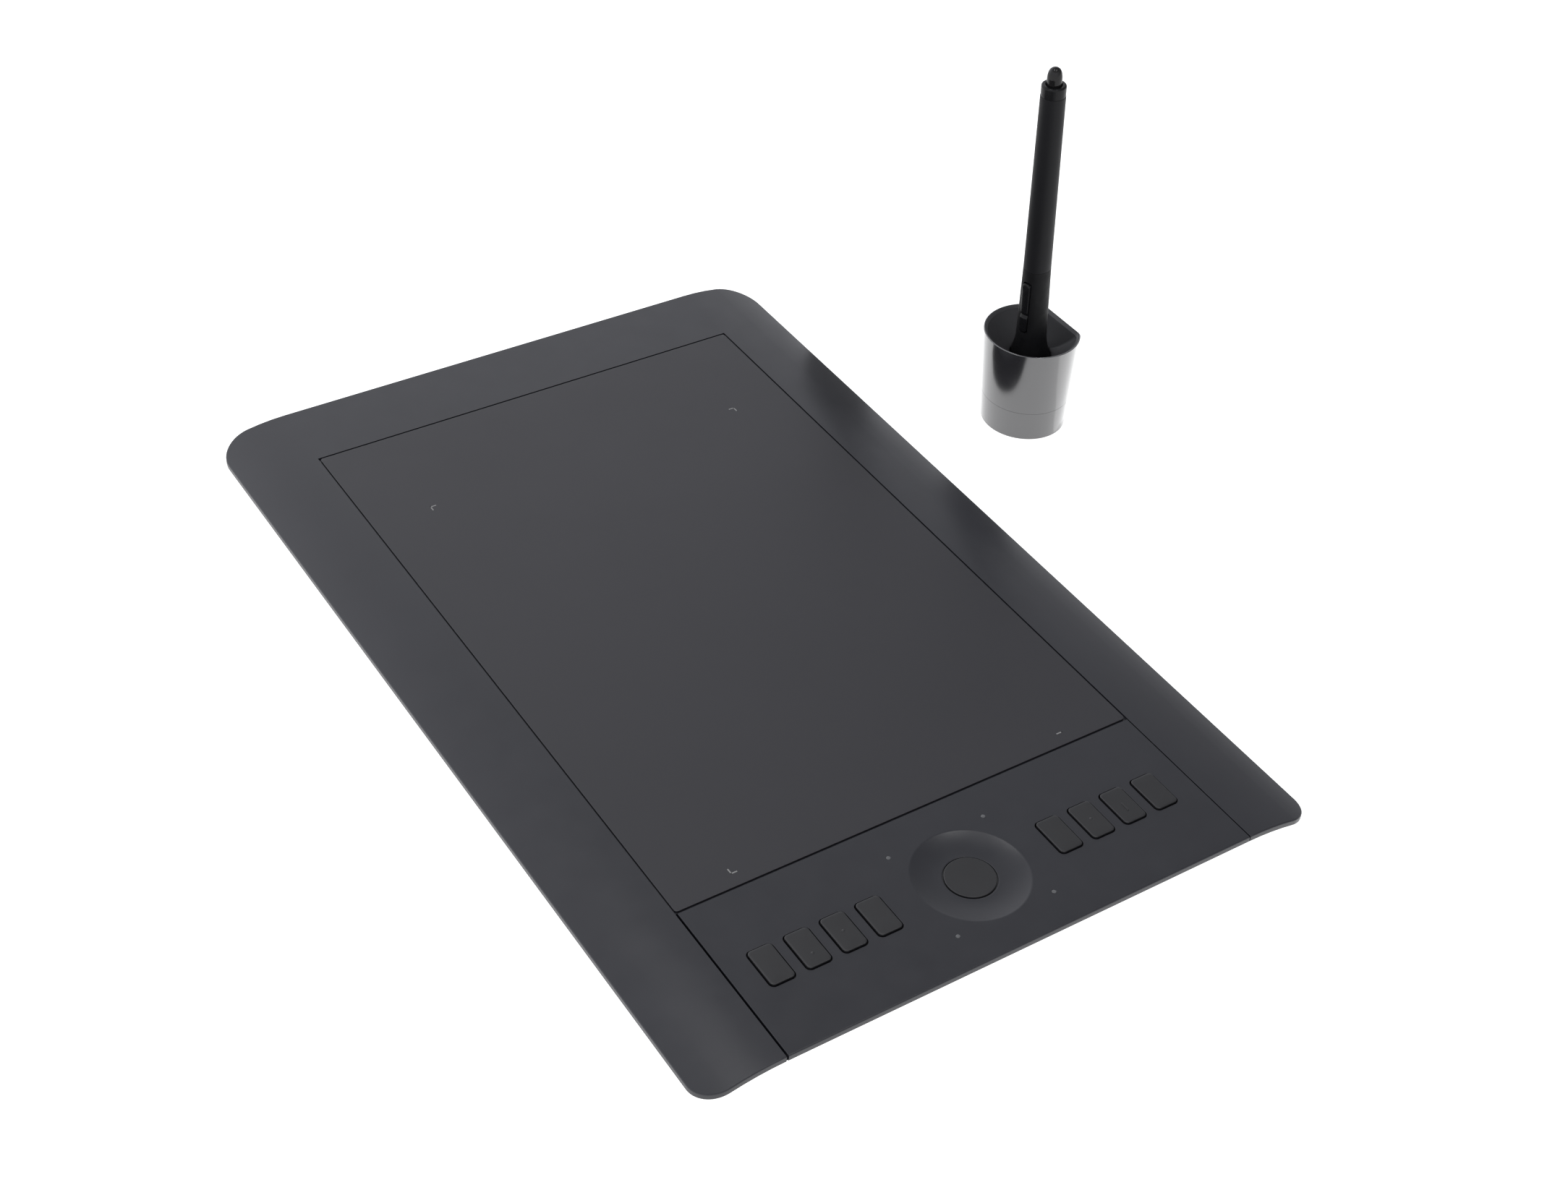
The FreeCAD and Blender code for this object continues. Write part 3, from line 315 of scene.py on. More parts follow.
def metal(name, color, roughness=0.35, stretch=(1, 12, 1)):
    """Rolled or turned steel with fine lines."""
    n = Nodes(name)
    lines = n.noise(0.0005, 4, stretch=stretch)
    dull = tuple(c * 0.85 for c in color)
    n.link(n.tint(n.spread(lines, 0, 1), dull, color), n.shader.inputs["Base Color"])
    n.link(n.spread(n.noise(0.002, 4), roughness - 0.08, roughness + 0.1), n.shader.inputs["Roughness"])
    n.bump((lines, 0.3, 0.000006))
    n.set(Metallic=1.0)
    return n.material


def circuit_board():
    """Green solder mask over a faint pattern of tracks."""
    n = Nodes("circuit_board")
    brick = n.add("ShaderNodeTexBrick")
    brick.inputs["Scale"].default_value = 160
    brick.inputs["Mortar Size"].default_value = 0.03
    brick.inputs["Color1"].default_value = (0.008, 0.075, 0.032, 1)
    brick.inputs["Color2"].default_value = (0.01, 0.085, 0.038, 1)
    brick.inputs["Mortar"].default_value = (0.03, 0.16, 0.08, 1)
    n.link(n.place, brick.inputs["Vector"])
    n.link(n.tint(n.spread(n.noise(0.01, 4), 0, 0.3), brick.outputs["Color"], (0.006, 0.05, 0.02)),
           n.shader.inputs["Base Color"])
    n.link(n.spread(n.noise(0.004, 4), 0.3, 0.42), n.shader.inputs["Roughness"])
    n.bump((brick.outputs["Fac"], 0.3, 0.00003))
    return n.material


def light_pipe():
    n = Nodes("light_pipe")
    n.link(n.tint(n.spread(n.noise(0.0006, 3), 0, 1), (0.085, 0.087, 0.09), (0.105, 0.107, 0.11)),
           n.shader.inputs["Base Color"])
    n.link(n.spread(n.noise(0.0005, 3), 0.3, 0.42), n.shader.inputs["Roughness"])
    n.bump((n.noise(0.0002, 2), 0.3, 0.00001))
    n.set(Subsurface_Weight=0.2, Subsurface_Radius=(0.001, 0.001, 0.001))
    return n.material


def mark_print():
    """Grey ink of the corner marks."""
    n = Nodes("mark_print")
    n.link(n.tint(n.spread(n.noise(0.0004, 4), 0, 1), (0.17, 0.17, 0.165), (0.22, 0.22, 0.215)),
           n.shader.inputs["Base Color"])
    n.link(n.spread(n.noise(0.001, 3), 0.45, 0.55), n.shader.inputs["Roughness"])
    n.bump((n.noise(0.0001, 2), 0.3, 0.000005))
    return n.material


MATERIALS = {
    "soft_touch": plastic("soft_touch", (0.0120, 0.0125, 0.0165), 0.33, wear=0.3, specular=0.5),
    "sheet": sheet_material(),
    "shell_plastic": plastic("shell_plastic", (0.022, 0.022, 0.024), 0.55, grain=0.0004, depth=0.00003),
    "key_plastic": plastic("key_plastic", (0.0085, 0.0085, 0.0096), 0.40, wear=0.3),
    "switch_plastic": plastic("switch_plastic", (0.05, 0.05, 0.05), 0.5),
    "chip_plastic": plastic("chip_plastic", (0.012, 0.012, 0.013), 0.6, wear=0),
    "pen_plastic": plastic("pen_plastic", (0.0052, 0.0052, 0.0062), 0.5, wear=0.1, specular=0.16),
    "nib_plastic": plastic("nib_plastic", (0.012, 0.012, 0.012), 0.4),
    "eraser_plastic": gloss("eraser_plastic", (0.007, 0.0066, 0.0066), 0.1, coat=0, specular=0.25),
    "liner_plastic": plastic("liner_plastic", (0.028, 0.028, 0.030), 0.45, wear=0, specular=0.4),
    "battery_wrap": plastic("battery_wrap", (0.2, 0.2, 0.22), 0.35),
    "ribbon": plastic("ribbon", (0.35, 0.17, 0.03), 0.3),
    "copper_coil": metal("copper_coil", (0.6, 0.27, 0.13), 0.35, stretch=(1, 1, 9)),
    "bare_steel": metal("bare_steel", (0.5, 0.5, 0.51)),
    "dark_steel": metal("dark_steel", (0.09, 0.09, 0.095), 0.4),
    "gloss_black": gloss("gloss_black", (0.012, 0.012, 0.014)),
    "pen_gloss": gloss("pen_gloss", (0.005, 0.005, 0.0055), 0.24, coat=0, specular=0.17),
    "foot_rubber": rubber("foot_rubber", (0.02, 0.02, 0.021)),
    "grip_rubber": rubber("grip_rubber", (0.0036, 0.0036, 0.0041), 0.55, specular=0.14),
    "circuit_board": circuit_board(),
    "light_pipe": light_pipe(),
    "led_body": light_pipe(),
    "mark_print": mark_print(),
}


def dress_cad_nodes():
    """Every carried-over CAD node takes the material of its slot in the record."""
    for part in frame["record"]["subparts"]:
        mesh = frame["nodes"][part["node"]].data
        mesh.materials.clear()
        mesh.materials.append(MATERIALS[part["material_slot"]])


# ------------------------------------------------------------------ forms, in millimetres until solid()

def eased(points, steps=5, closed=False):
    """An outline with its corners rounded: a point is (a, b) or (a, b, corner radius)."""
    out = []
    count = len(points)
    for index, point in enumerate(points):
        here = Vector(point[:2])
        if len(point) == 2 or not (closed or 0 < index < count - 1):
            out.append(tuple(here))
            continue
        before = Vector(points[index - 1][:2]) - here
        after = Vector(points[(index + 1) % count][:2]) - here
        half = before.angle(after) / 2
        reach = min(point[2] / math.tan(half), before.length / 2, after.length / 2)
        radius = reach * math.tan(half)
        middle = here + (before.normalized() + after.normalized()).normalized() * (radius / math.sin(half))
        first = here + before.normalized() * reach
        last = here + after.normalized() * reach
        out += [tuple(first)] + sweep(first, last, middle, steps)
    return out


def sweep(first, last, middle, steps):
    """Points on the short arc about a middle, after its first point."""
    a, b = Vector(first) - Vector(middle), Vector(last) - Vector(middle)
    turn = a.angle(b)
    shares = [step / steps for step in range(1, steps + 1)]
    return [tuple(Vector(middle) + (a * math.sin((1 - t) * turn) + b * math.sin(t * turn)) / math.sin(turn))
            for t in shares]


def bow(first, last, radius, side, steps=16):
    """Points on an arc after its first point; its middle is left (1) or right (-1) of the way."""
    half = (Vector(last) - Vector(first)) / 2
    across = Vector((-half.y, half.x)).normalized() * side
    middle = Vector(first) + half + across * math.sqrt(max(radius ** 2 - half.length_squared, 0))
    return sweep(first, last, middle, steps)


def circle(radius, around=96):
    return [(radius * math.cos(math.tau * i / around), radius * math.sin(math.tau * i / around))
            for i in range(around)]


def skin(rings, closed=False):
    """Faces between rings of points.  A ring of one point is a pole; open ends are capped."""
    points, faces, starts = [], [], []
    for ring in rings:
        starts.append(len(points))
        points += ring
    for low, high in [(i, i + 1) for i in range(len(rings) - 1)] + ([(len(rings) - 1, 0)] if closed else []):
        a, b = starts[low], starts[high]
        count = max(len(rings[low]), len(rings[high]))
        for i in range(count):
            j = (i + 1) % count
            if len(rings[low]) == 1:
                faces.append((a, b + j, b + i))
            elif len(rings[high]) == 1:
                faces.append((a + i, a + j, b))
            else:
                faces.append((a + i, a + j, b + j, b + i))
    if not closed:
        for start, ring in ((starts[0], rings[0]), (starts[-1], rings[-1])):
            if len(ring) > 1:
                faces.append(tuple(range(start, start + len(ring))))
    return points, faces


def turned(profile, closed=False, around=96, x=0, y=0):
    """A form turned about an upright axis from (radius, height) points."""
    return skin([[(x, y, z)] if r < 1e-6 else [(x + a, y + b, z) for a, b in circle(r, around)]
                 for r, z in profile], closed)


def moulded(outline, profile, closed=False):
    """A form whose plan is outline(inset, height) at each (inset, height) of its profile."""
    return skin([[(x, y, z) for x, y in outline(inset, z)] for inset, z in profile], closed)


def rounded_plan(low_x, low_y, high_x, high_y, corner, steps=8):
    """A rectangle with round corners, as an outline that can be set in."""
    def outline(inset, _height):
        radius = max(corner - inset, 0.02)
        ring = []
        for x, y, quarter in ((high_x - inset - radius, high_y - inset - radius, 0),
                              (low_x + inset + radius, high_y - inset - radius, 1),
                              (low_x + inset + radius, low_y + inset + radius, 2),
                              (high_x - inset - radius, low_y + inset + radius, 3)):
            for step in range(steps + 1):
                turn = (quarter + step / steps) * math.pi / 2
                ring.append((x + radius * math.cos(turn), y + radius * math.sin(turn)))
        return ring
    return outline


def solid(name, shells, at=Matrix.Identity(4)):
    """A mesh object from shells in millimetres, placed by a matrix in metres."""
    mesh = bpy.data.meshes.new(name)
    points, faces = [], []
    for shell_points, shell_faces in shells:
        start = len(points)
        points += [at @ (Vector(point) * MM) for point in shell_points]
        faces += [tuple(start + i for i in face) for face in shell_faces]
    mesh.from_pydata(points, [], faces)
    item = bpy.data.objects.new(name, mesh)
    bpy.context.scene.collection.objects.link(item)
    finish_mesh(item)
    return item


def finish_mesh(item, angle=38):
    """Weld the seams, turn the faces outward, and shade smooth except across sharp edges."""
    form = bmesh.new()
    form.from_mesh(item.data)
    bmesh.ops.remove_doubles(form, verts=form.verts, dist=0.000001)
    bmesh.ops.recalc_face_normals(form, faces=form.faces)
    form.to_mesh(item.data)
    form.free()
    item.data.shade_smooth()
    item.data.set_sharp_from_angle(angle=math.radians(angle))
    weight = item.modifiers.new("weight", "WEIGHTED_NORMAL")
    weight.keep_sharp = True


def carved(item, *cutters):
    """Cut solids out of a solid, keeping the result as a plain mesh."""
    item.modifiers.clear()
    for cutter in cutters:
        cut = item.modifiers.new("cut", "BOOLEAN")
        cut.operation, cut.solver, cut.object = "DIFFERENCE", "EXACT", cutter
    shape = item.evaluated_get(bpy.context.evaluated_depsgraph_get())
    item.data = bpy.data.meshes.new_from_object(shape)
    item.modifiers.clear()
    for cutter in cutters:
        bpy.data.objects.remove(cutter)
    finish_mesh(item)
    return item


def rounded_copy(name, node, width, angle=40):
    """A copy of a CAD piece whose sharp edges are broken by a small round."""
    form = bmesh.new()
    form.from_mesh(frame["nodes"][node].data)
    bmesh.ops.remove_doubles(form, verts=form.verts, dist=0.000002)
    bmesh.ops.dissolve_limit(form, angle_limit=math.radians(0.5), verts=form.verts, edges=form.edges)
    sharp = [edge for edge in form.edges if len(edge.link_faces) == 2
             and edge.calc_face_angle() > math.radians(angle)]
    bmesh.ops.bevel(form, geom=sharp, offset=width * MM, segments=3, profile=0.5, affect="EDGES",
                    clamp_overlap=True)
    mesh = bpy.data.meshes.new(name)
    form.to_mesh(mesh)
    form.free()
    item = bpy.data.objects.new(name, mesh)
    bpy.context.scene.collection.objects.link(item)
    finish_mesh(item)
    return item


def place(item, body, slot, *nodes, materials=()):
    """Give a finished piece its material, its body and the CAD nodes it stands for."""
    for name in materials or (slot,):
        item.data.materials.append(MATERIALS[name])
    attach(item, body)
    if nodes:
        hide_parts(*nodes)
    return item


def joint(name):
    return next(item for item in frame["joints"] if item["name"] == name)


# ------------------------------------------------------------------ tablet

TOP = 11.0
SHEET_THICK = 0.8
ACTIVE_X, ACTIVE_Y = (-116.3, 107.7), (-70, 70)
KEY_X = -156.15
KEY_ROWS = (-79.5, -65.5, -51.5, -37.5, 37.5, 51.5, 65.5, 79.5)
KEY_HALF_X, KEY_HALF_Y, KEY_GAP = 7.9, 4.6, 0.5
KEY_TOP = TOP + 0.7
RING = 20.65
DOTS = [(KEY_X + x, y) for x in (-20.05, 20.05) for y in (-19.85, 19.85)]
FEET = [(0, 0)] + [(x, y) for x in (-165, 165) for y in (-95, 95)]
SCREWS = [(x, y) for x in (-110, 0, 118) for y in (-86, 86)] + [(172, -70), (172, 70)]


def dome(x, y, radius, low, high):
    """A shallow round bump whose foot is sunk a little below its surface."""
    rise = high - low
    curve = (radius ** 2 + rise ** 2) / (2 * rise)
    foot = [(0, low - 0.2), (radius, low - 0.2), (radius, low)]
    return turned(foot + bow((radius, low), (0, high), curve, 1, 6), around=24, x=x, y=y)


def drawing_surface():
    """The sheet, with eight short printed lines at the corners of its active area."""
    low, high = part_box("drawing_surface")
    plan = rounded_plan(low.x / MM, low.y / MM, high.x / MM, high.y / MM, 1.2)
    under = TOP - SHEET_THICK
    shells = [moulded(plan, [(0, under)] + eased([(0, under), (0, TOP, 0.18), (3, TOP)]))]
    sheet_faces = len(shells[0][1])
    arm, line = 2.6, 0.5
    ink = [(0, TOP - 0.05), (0, TOP + 0.004), (0.02, TOP + 0.008)]
    for x, inward_x in zip(ACTIVE_X, (1, -1)):
        for y, inward_y in zip(ACTIVE_Y, (1, -1)):
            for long_x, long_y in ((arm, line), (line, arm)):
                low_x, high_x = sorted((x, x + inward_x * long_x))
                low_y, high_y = sorted((y, y + inward_y * long_y))
                shells.append(moulded(rounded_plan(low_x, low_y, high_x, high_y, 0.1, 2), ink))
    item = solid("drawing_surface_piece", shells)
    place(item, "tablet", "sheet", "drawing_surface", materials=("sheet", "mark_print"))
    for face in item.data.polygons:
        face.material_index = int(face.index >= sheet_faces)


def shortcut_keys():
    """Eight keys with softly crowned tops.  Four carry marks for the fingertips."""
    flange, flange_low, flange_top = 1.1, 8.5, 8.95
    mark_top, dot_radius, bar_half = KEY_TOP + 0.25, 0.6, 0.35
    dots = {3: -156.0, 6: -156.0, 7: -159.0}
    bar_key, bar_ends = 2, (-159.4, -155.3)
    body = eased([(-flange, flange_low), (-flange, flange_top), (0, flange_top), (0, KEY_TOP - 0.1, 0.3),
                  (0.7, KEY_TOP - 0.03, 0.3), (2.4, KEY_TOP), (4.2, KEY_TOP)])
    bar_edge = eased([(0, KEY_TOP - 0.2), (0, mark_top - 0.03, 0.2), (0.33, mark_top)])
    for number, y in enumerate(KEY_ROWS, start=1):
        plan = rounded_plan(KEY_X - KEY_HALF_X, y - KEY_HALF_Y, KEY_X + KEY_HALF_X, y + KEY_HALF_Y, 1.5)
        shells = [moulded(plan, body)]
        if number == bar_key:
            bar = rounded_plan(bar_ends[0], y - bar_half, bar_ends[1], y + bar_half, bar_half)
            shells.append(moulded(bar, bar_edge))
        elif number in dots:
            shells.append(dome(dots[number], y, dot_radius, KEY_TOP - 0.02, mark_top))
        name = f"shortcut_key_{number}"
        place(solid(name + "_piece", shells), name, "key_plastic", name)


def keys_panel():
    """The panel, with rounded edges at its openings and a touch ring that dips smoothly from its rim."""
    # the panel's section, swept along Y with its two ends rounded
    low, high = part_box("keys_panel")
    near, far, under, edge = low.x / MM, high.x / MM, TOP - 2, 0.12
    lip_low, lip_thick, lip_round = 8.4, 1.8, 0.5
    quarter = [(edge * (1 - math.cos(turn)), edge * (1 - math.sin(turn)))
               for turn in (0, math.pi / 6, math.pi / 3, math.pi / 2)]
    rings = []
    for y, inset in ([(low.y / MM + along, inset) for along, inset in quarter]
                     + [(high.y / MM - along, inset) for along, inset in reversed(quarter)]):
        section = eased([(near, lip_low, lip_round), (near + lip_thick, lip_low), (near + lip_thick, under),
                         (far, under), (far, TOP - inset, edge), (near, TOP - inset, lip_round)], 6, True)
        rings.append([(x, y, z) for x, z in section])
    panel = solid("keys_panel_piece", [skin(rings)])

    # openings for the keys and the dots, flared at the top
    start, stop, half_x, half_y = under - 1, TOP + 1, KEY_HALF_X + KEY_GAP, KEY_HALF_Y + KEY_GAP
    flare = [(0, start), (0, TOP - edge), (-0.035, TOP - 0.035), (-edge, TOP), (-edge, stop)]
    dot = [(0, start), (0.8, start), (0.8, TOP - 0.1), (0.9, TOP), (0.9, stop), (0, stop)]
    holes = [moulded(rounded_plan(KEY_X - half_x, y - half_y, KEY_X + half_x, y + half_y, 2), flare)
             for y in KEY_ROWS]
    holes += [turned(dot, around=32, x=x, y=y) for x, y in DOTS]

    # the dish: a bowl that turns over into a soft rim
    floor, rim, hole, foot = TOP - 1.6, RING - 0.4, 9.5, 9.6
    curve, rim_curve = 39.65, 2.96
    rise = curve - math.sqrt(curve ** 2 - (rim - foot) ** 2)
    ring = [(0, start), (hole, start), (hole, floor - 0.1), (hole + 0.03, floor - 0.03), (foot, floor)]
    ring += bow((foot, floor), (rim, floor + rise), curve, 1, 24)
    ring += bow((rim, floor + rise), (RING + 0.4, TOP), rim_curve, -1, 8)
    ring += [(RING + 0.4, stop), (0, stop)]
    carved(panel, solid("openings", holes), solid("ring_dish", [turned(ring, around=180, x=KEY_X)]))
    place(panel, "tablet", "soft_touch", "keys_panel")


def ring_button():
    """The round button in the middle of the touch ring, a little hollow on top."""
    flange, radius, low, seat, top = 10, 9.1, 8.45, 8.95, 9.78
    shell = turned(eased([(0, low), (flange, low), (flange, seat), (radius, seat), (radius, top, 0.3),
                          (5, top - 0.04), (0, top - 0.06)]))
    item = solid("ring_button_piece", [shell], Matrix.Translation((KEY_X * MM, 0, 0)))
    place(item, "ring_button", "key_plastic", "ring_button")


def light_pipes():
    radius, low = 0.8, 7.7
    rod = [(0, low), (radius, low)] + eased([(radius, low), (radius, TOP - 0.02, 0.12), (0, TOP + 0.03)])
    shells = [turned(rod, around=24, x=x, y=y) for x, y in DOTS]
    place(solid("light_pipes_piece", shells), "tablet", "light_pipe", "light_pipes")


def casing():
    """The cover, the lower casing and its two sliding covers, with their edges broken."""
    for node, body, width, slot in (("bezel_frame", "tablet", 0.16, "soft_touch"),
                                    ("bottom_shell", "tablet", 0.2, "shell_plastic"),
                                    ("battery_cover", "battery_cover", 0.15, "shell_plastic"),
                                    ("module_cover", "module_cover", 0.15, "shell_plastic")):
        place(rounded_copy(node + "_piece", node, width), body, slot, node)


def rubber_feet():
    """Five round feet, each a little hollow underneath."""
    radius, top, hollow = 6, 1, 0.25
    foot = [(0, top)] + eased([(radius, top), (radius, 0, 0.35), (4.6, 0, 0.3), (4.3, hollow, 0.3),
                               (0, hollow)])
    feet = [turned(foot, around=64, x=x, y=y) for x, y in FEET]
    place(solid("rubber_feet_piece", feet), "tablet", "foot_rubber", "rubber_feet")


def case_screws():
    """Eight cross-head screws: one is carved, then repeated."""
    stem, head, tip, seat, face = 0.8, 1.8, 8, 2.1, 1.2
    cross_long, cross_wide, cross_low, cross_deep = 1.05, 0.22, 0.8, 1.8
    profile = [(0, tip), (stem, tip), (stem, seat), (head, seat)]
    profile += eased([(head, seat), (head, face, 0.25), (0, face)])
    item = solid("case_screws_piece", [turned(profile, around=32)])
    cross = []
    for x, y in ((cross_long, cross_wide), (cross_wide, cross_long)):
        slot = moulded(rounded_plan(-x, -y, x, y, 0.1, 2), [(0, cross_low), (0.05, cross_deep)])
        cross.append(solid("cross", [slot]))
    carved(item, *cross)
    points = [vertex.co.copy() for vertex in item.data.vertices]
    faces = [list(face.vertices) for face in item.data.polygons]
    form = bmesh.new()
    for x, y in SCREWS:
        verts = [form.verts.new(point + Vector((x, y, 0)) * MM) for point in points]
        for corners in faces:
            form.faces.new([verts[i] for i in corners])
    form.to_mesh(item.data)
    form.free()
    item.modifiers.clear()
    finish_mesh(item)
    place(item, "tablet", "dark_steel", "case_screws")


FACING_X = Matrix.Rotation(math.pi / 2, 4, "Y")


def usb_socket():
    """The USB inlet in the far wall: a folded steel sleeve round a tongue, turned to face +X."""
    x, y, low, tall, wide, deep = 183.5, 40, 4.4, 3.7, 8.2, 8.5
    wall, back = 0.4, 1.8
    opening = rounded_plan(-tall / 2, -wide / 2, tall / 2, wide / 2, 0.9)
    sleeve = moulded(opening, eased([(0, -deep), (0, 0, 0.12), (wall, 0, 0.12), (wall, 1 - deep),
                                     (back, 1 - deep), (back, -deep)], 3, True), True)
    tongue = moulded(rounded_plan(-0.45, -2.4, 0.45, 2.4, 0.1),
                     eased([(0, 0.5 - deep), (0, -1, 0.2), (0.3, -1)]))
    at = Matrix.Translation((x * MM, y * MM, (low + tall / 2) * MM)) @ FACING_X
    place(solid("usb_socket_piece", [sleeve, tongue], at), "tablet", "bare_steel", "usb_socket")


def power_button():
    """The button beside the inlet, with a flange inside the wall and a slightly hollow face."""
    low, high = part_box("power_button")
    middle = (low + high) / 2
    length = (high.x - low.x) / MM
    flange, radius = 2.55, 2
    shell = turned(eased([(0, 0), (flange, 0), (flange, 0.8), (radius, 0.8), (radius, length, 0.3),
                          (0.9, length - 0.15), (0, length - 0.2)]))
    at = Matrix.Translation((low.x, middle.y, middle.z)) @ FACING_X
    place(solid("power_button_piece", [shell], at), "power_button", "key_plastic", "power_button")


# ------------------------------------------------------------------ pen

COLLAR_START, COLLAR_END, PEN_END = 143.9, 148.6, 155.8
SWITCH_LOW, SWITCH_HIGH, SWITCH_PIVOT = 37.3, 60.5, 45.6
SWITCH_HALF, SWITCH_TURN = 1.8, 104


def pen_place():
    """The nib's tip and the pen's lean."""
    axis = Vector(joint("pen_lift")["axis"])
    points = [vertex.co for vertex in frame["nodes"]["nib"].data.vertices]
    tip = min(points, key=lambda point: point.dot(axis))
    return Matrix.Translation(tip) @ Vector((0, 0, 1)).rotation_difference(axis).to_matrix().to_4x4()


def pen_pieces():
    """The pen, each turned part drawn as (radius, height over the nib's tip)."""
    at = pen_place()
    hole, nose_low, nose_top = 0.96, 1.8, 9.85
    nose = [(hole, nose_low)] + eased([(hole, nose_low), (1.7, nose_low, 0.25), (2.0, 2.6)], 3)
    nose += bow((2.0, 2.6), (3.9, nose_top), 26, 1) + [(3, nose_top), (3, 13), (hole, 13)]
    place(solid("pen_nose_piece", [turned(nose, True)], at), "pen", "pen_plastic", "pen_nose")
    nib = [(0, 0)] + bow((0, 0), (0.55, 0.25), 0.73, 1, 6) + [(0.9, 2), (0.9, 17), (0, 17)]
    place(solid("nib_piece", [turned(nib, around=32)], at), "nib", "nib_plastic", "nib")

    # the rubber grip swells, narrows to a waist, then runs straight up to the barrel
    bore, grip_top = 4.1, 66
    grip = [(3.05, 10)] + eased([(3.05, 10), (4, 10, 0.3), (4.3, 11)], 3)
    grip += bow((4.3, 11), (7.8, 24.5), 29.56, 1, 24)
    grip += bow((7.8, 24.5), (7.35, 27.8), 12.3, 1, 8)
    grip += bow((7.35, 27.8), (6.35, 35.2), 27.5, -1, 16)
    grip += [(6.25, 40), (6.14, 45), (6.03, 50), (5.93, 55), (5.82, 60)]
    grip += eased([(5.82, 60), (5.7, grip_top, 0.05), (bore, grip_top)], 2) + [(bore, 16), (3.05, 14)]
    half, gap = SWITCH_HALF + 0.2, 0.4
    window = rounded_plan(-half, SWITCH_LOW - gap, half, SWITCH_HIGH + gap, 1.2)
    turn = Matrix.Rotation(math.radians(SWITCH_TURN), 4, "Z")
    upright = Matrix(((0, 0, 1, 0), (1, 0, 0, 0), (0, 1, 0, 0), (0, 0, 0, 1)))
    item = solid("pen_grip_piece", [turned(grip, True)], at)
    slot_cutter = solid("switch_window", [moulded(window, [(0, 3.2), (0, 12)])], at @ turn @ upright)
    place(carved(item, slot_cutter), "pen", "grip_rubber", "pen_grip")

    low, high = grip_top + 0.05, 143.85
    barrel = eased([(bore, low), (5.68, low, 0.05), (5.08, high, 0.06), (3.4, high), (3.4, 137.9),
                    (bore, 135.9)], 3, True)
    place(solid("pen_barrel_piece", [turned(barrel, True)], at), "pen", "pen_plastic", "pen_barrel")
    outside, inside = 4.98, 3.13
    collar = eased([(inside, COLLAR_START), (outside, COLLAR_START, 0.06), (outside, COLLAR_END, 1.2),
                    (3.45, COLLAR_END, 0.1), (inside, COLLAR_END - 0.5)], 8, True)
    item = solid("pen_collar_piece", [turned(collar, True)], at)
    place(item, "pen", "gloss_black", "pen_collar", materials=("pen_gloss",))

    # the eraser: a straight stem, a long curve inwards and a round tip
    stem, reach, tip = 3.05, 9, 2.75
    across = (reach - stem) / (reach - tip)
    rise = math.sqrt(1 - across * across)
    shoulder = (stem, PEN_END - tip - (reach - tip) * rise)
    crown = (tip * across, PEN_END - tip + tip * rise)
    eraser = [(0, COLLAR_START - 4), (stem, COLLAR_START - 4), shoulder] + bow(shoulder, crown, reach, 1, 12)
    eraser += bow(crown, (0, PEN_END), tip, 1, 10)
    place(solid("eraser_piece", [turned(eraser)], at), "eraser", "eraser_plastic", "eraser")
    side_switch(at @ turn @ upright)


def side_switch(at):
    """A rocker with a notch over its pivot and a raised, rounded upper end."""
    low, high, steps = SWITCH_LOW, SWITCH_HIGH, 140
    corner, edge, underside, skin_radius = 1.5, 0.2, 4.15, 7.0
    pin_radius, pin_half, pin_height = 0.6, 2.05, 4.8

    def height(across, along, drop):
        """How far the rocker's skin stands off the pen's axis."""
        crown = math.sqrt(skin_radius ** 2 - across ** 2)
        notch = 0.68 * max(0, 1 - abs(along - SWITCH_PIVOT) / 1.25) ** 0.8
        nail = 0.3 * max(0, 1 - math.hypot(along - 59.0, across * 1.2) / 1.9)
        ends = 0.55 * max(0, (along - 58.6) / 1.9) ** 2 + 0.7 * max(0, (39.0 - along) / 1.7) ** 2
        return crown - notch - nail - ends - drop

    rows = []
    for step in range(steps + 1):
        along = low + (high - low) * step / steps
        end = min(along - low, high - along)
        cut = corner - math.sqrt(max(corner ** 2 - max(corner - end, 0) ** 2, 0))
        width = SWITCH_HALF - min(cut, corner - 0.05)
        row = [(-width, along, underside), (-width, along, height(width, along, edge * 1.2))]
        for share in (-0.94, -0.8, -0.55, -0.28, 0, 0.28, 0.55, 0.8, 0.94):
            across = share * width
            fall = edge * max(0, (abs(share) - 0.55) / 0.45) ** 2
            row.append((across, along, height(across, along, fall)))
        row += [(width, along, height(width, along, edge * 1.2)), (width, along, underside)]
        rows.append(row)
    count = len(rows[0])
    points = [point for row in rows for point in row]
    faces = []
    for i in range(len(rows) - 1):
        for j in range(count):
            k = (j + 1) % count
            faces.append((i * count + j, i * count + k, (i + 1) * count + k, (i + 1) * count + j))
    faces += [tuple(range(count)), tuple(range((len(rows) - 1) * count, len(rows) * count))]
    pin = turned(eased([(0, -pin_half), (pin_radius, -pin_half, 0.1), (pin_radius, pin_half, 0.1),
                        (0, pin_half)], 2), around=24)
    pin_points = [(z, SWITCH_PIVOT + y, pin_height + x) for x, y, z in pin[0]]
    item = solid("side_switch_piece", [(points, faces), (pin_points, pin[1])], at)
    place(item, "side_switch", "gloss_black", "side_switch", materials=("pen_gloss",))


# ------------------------------------------------------------------ pen stand

STAND_TOP, STAND_SEAM, SEAM_HALF = 44.5, 14.5, 0.03


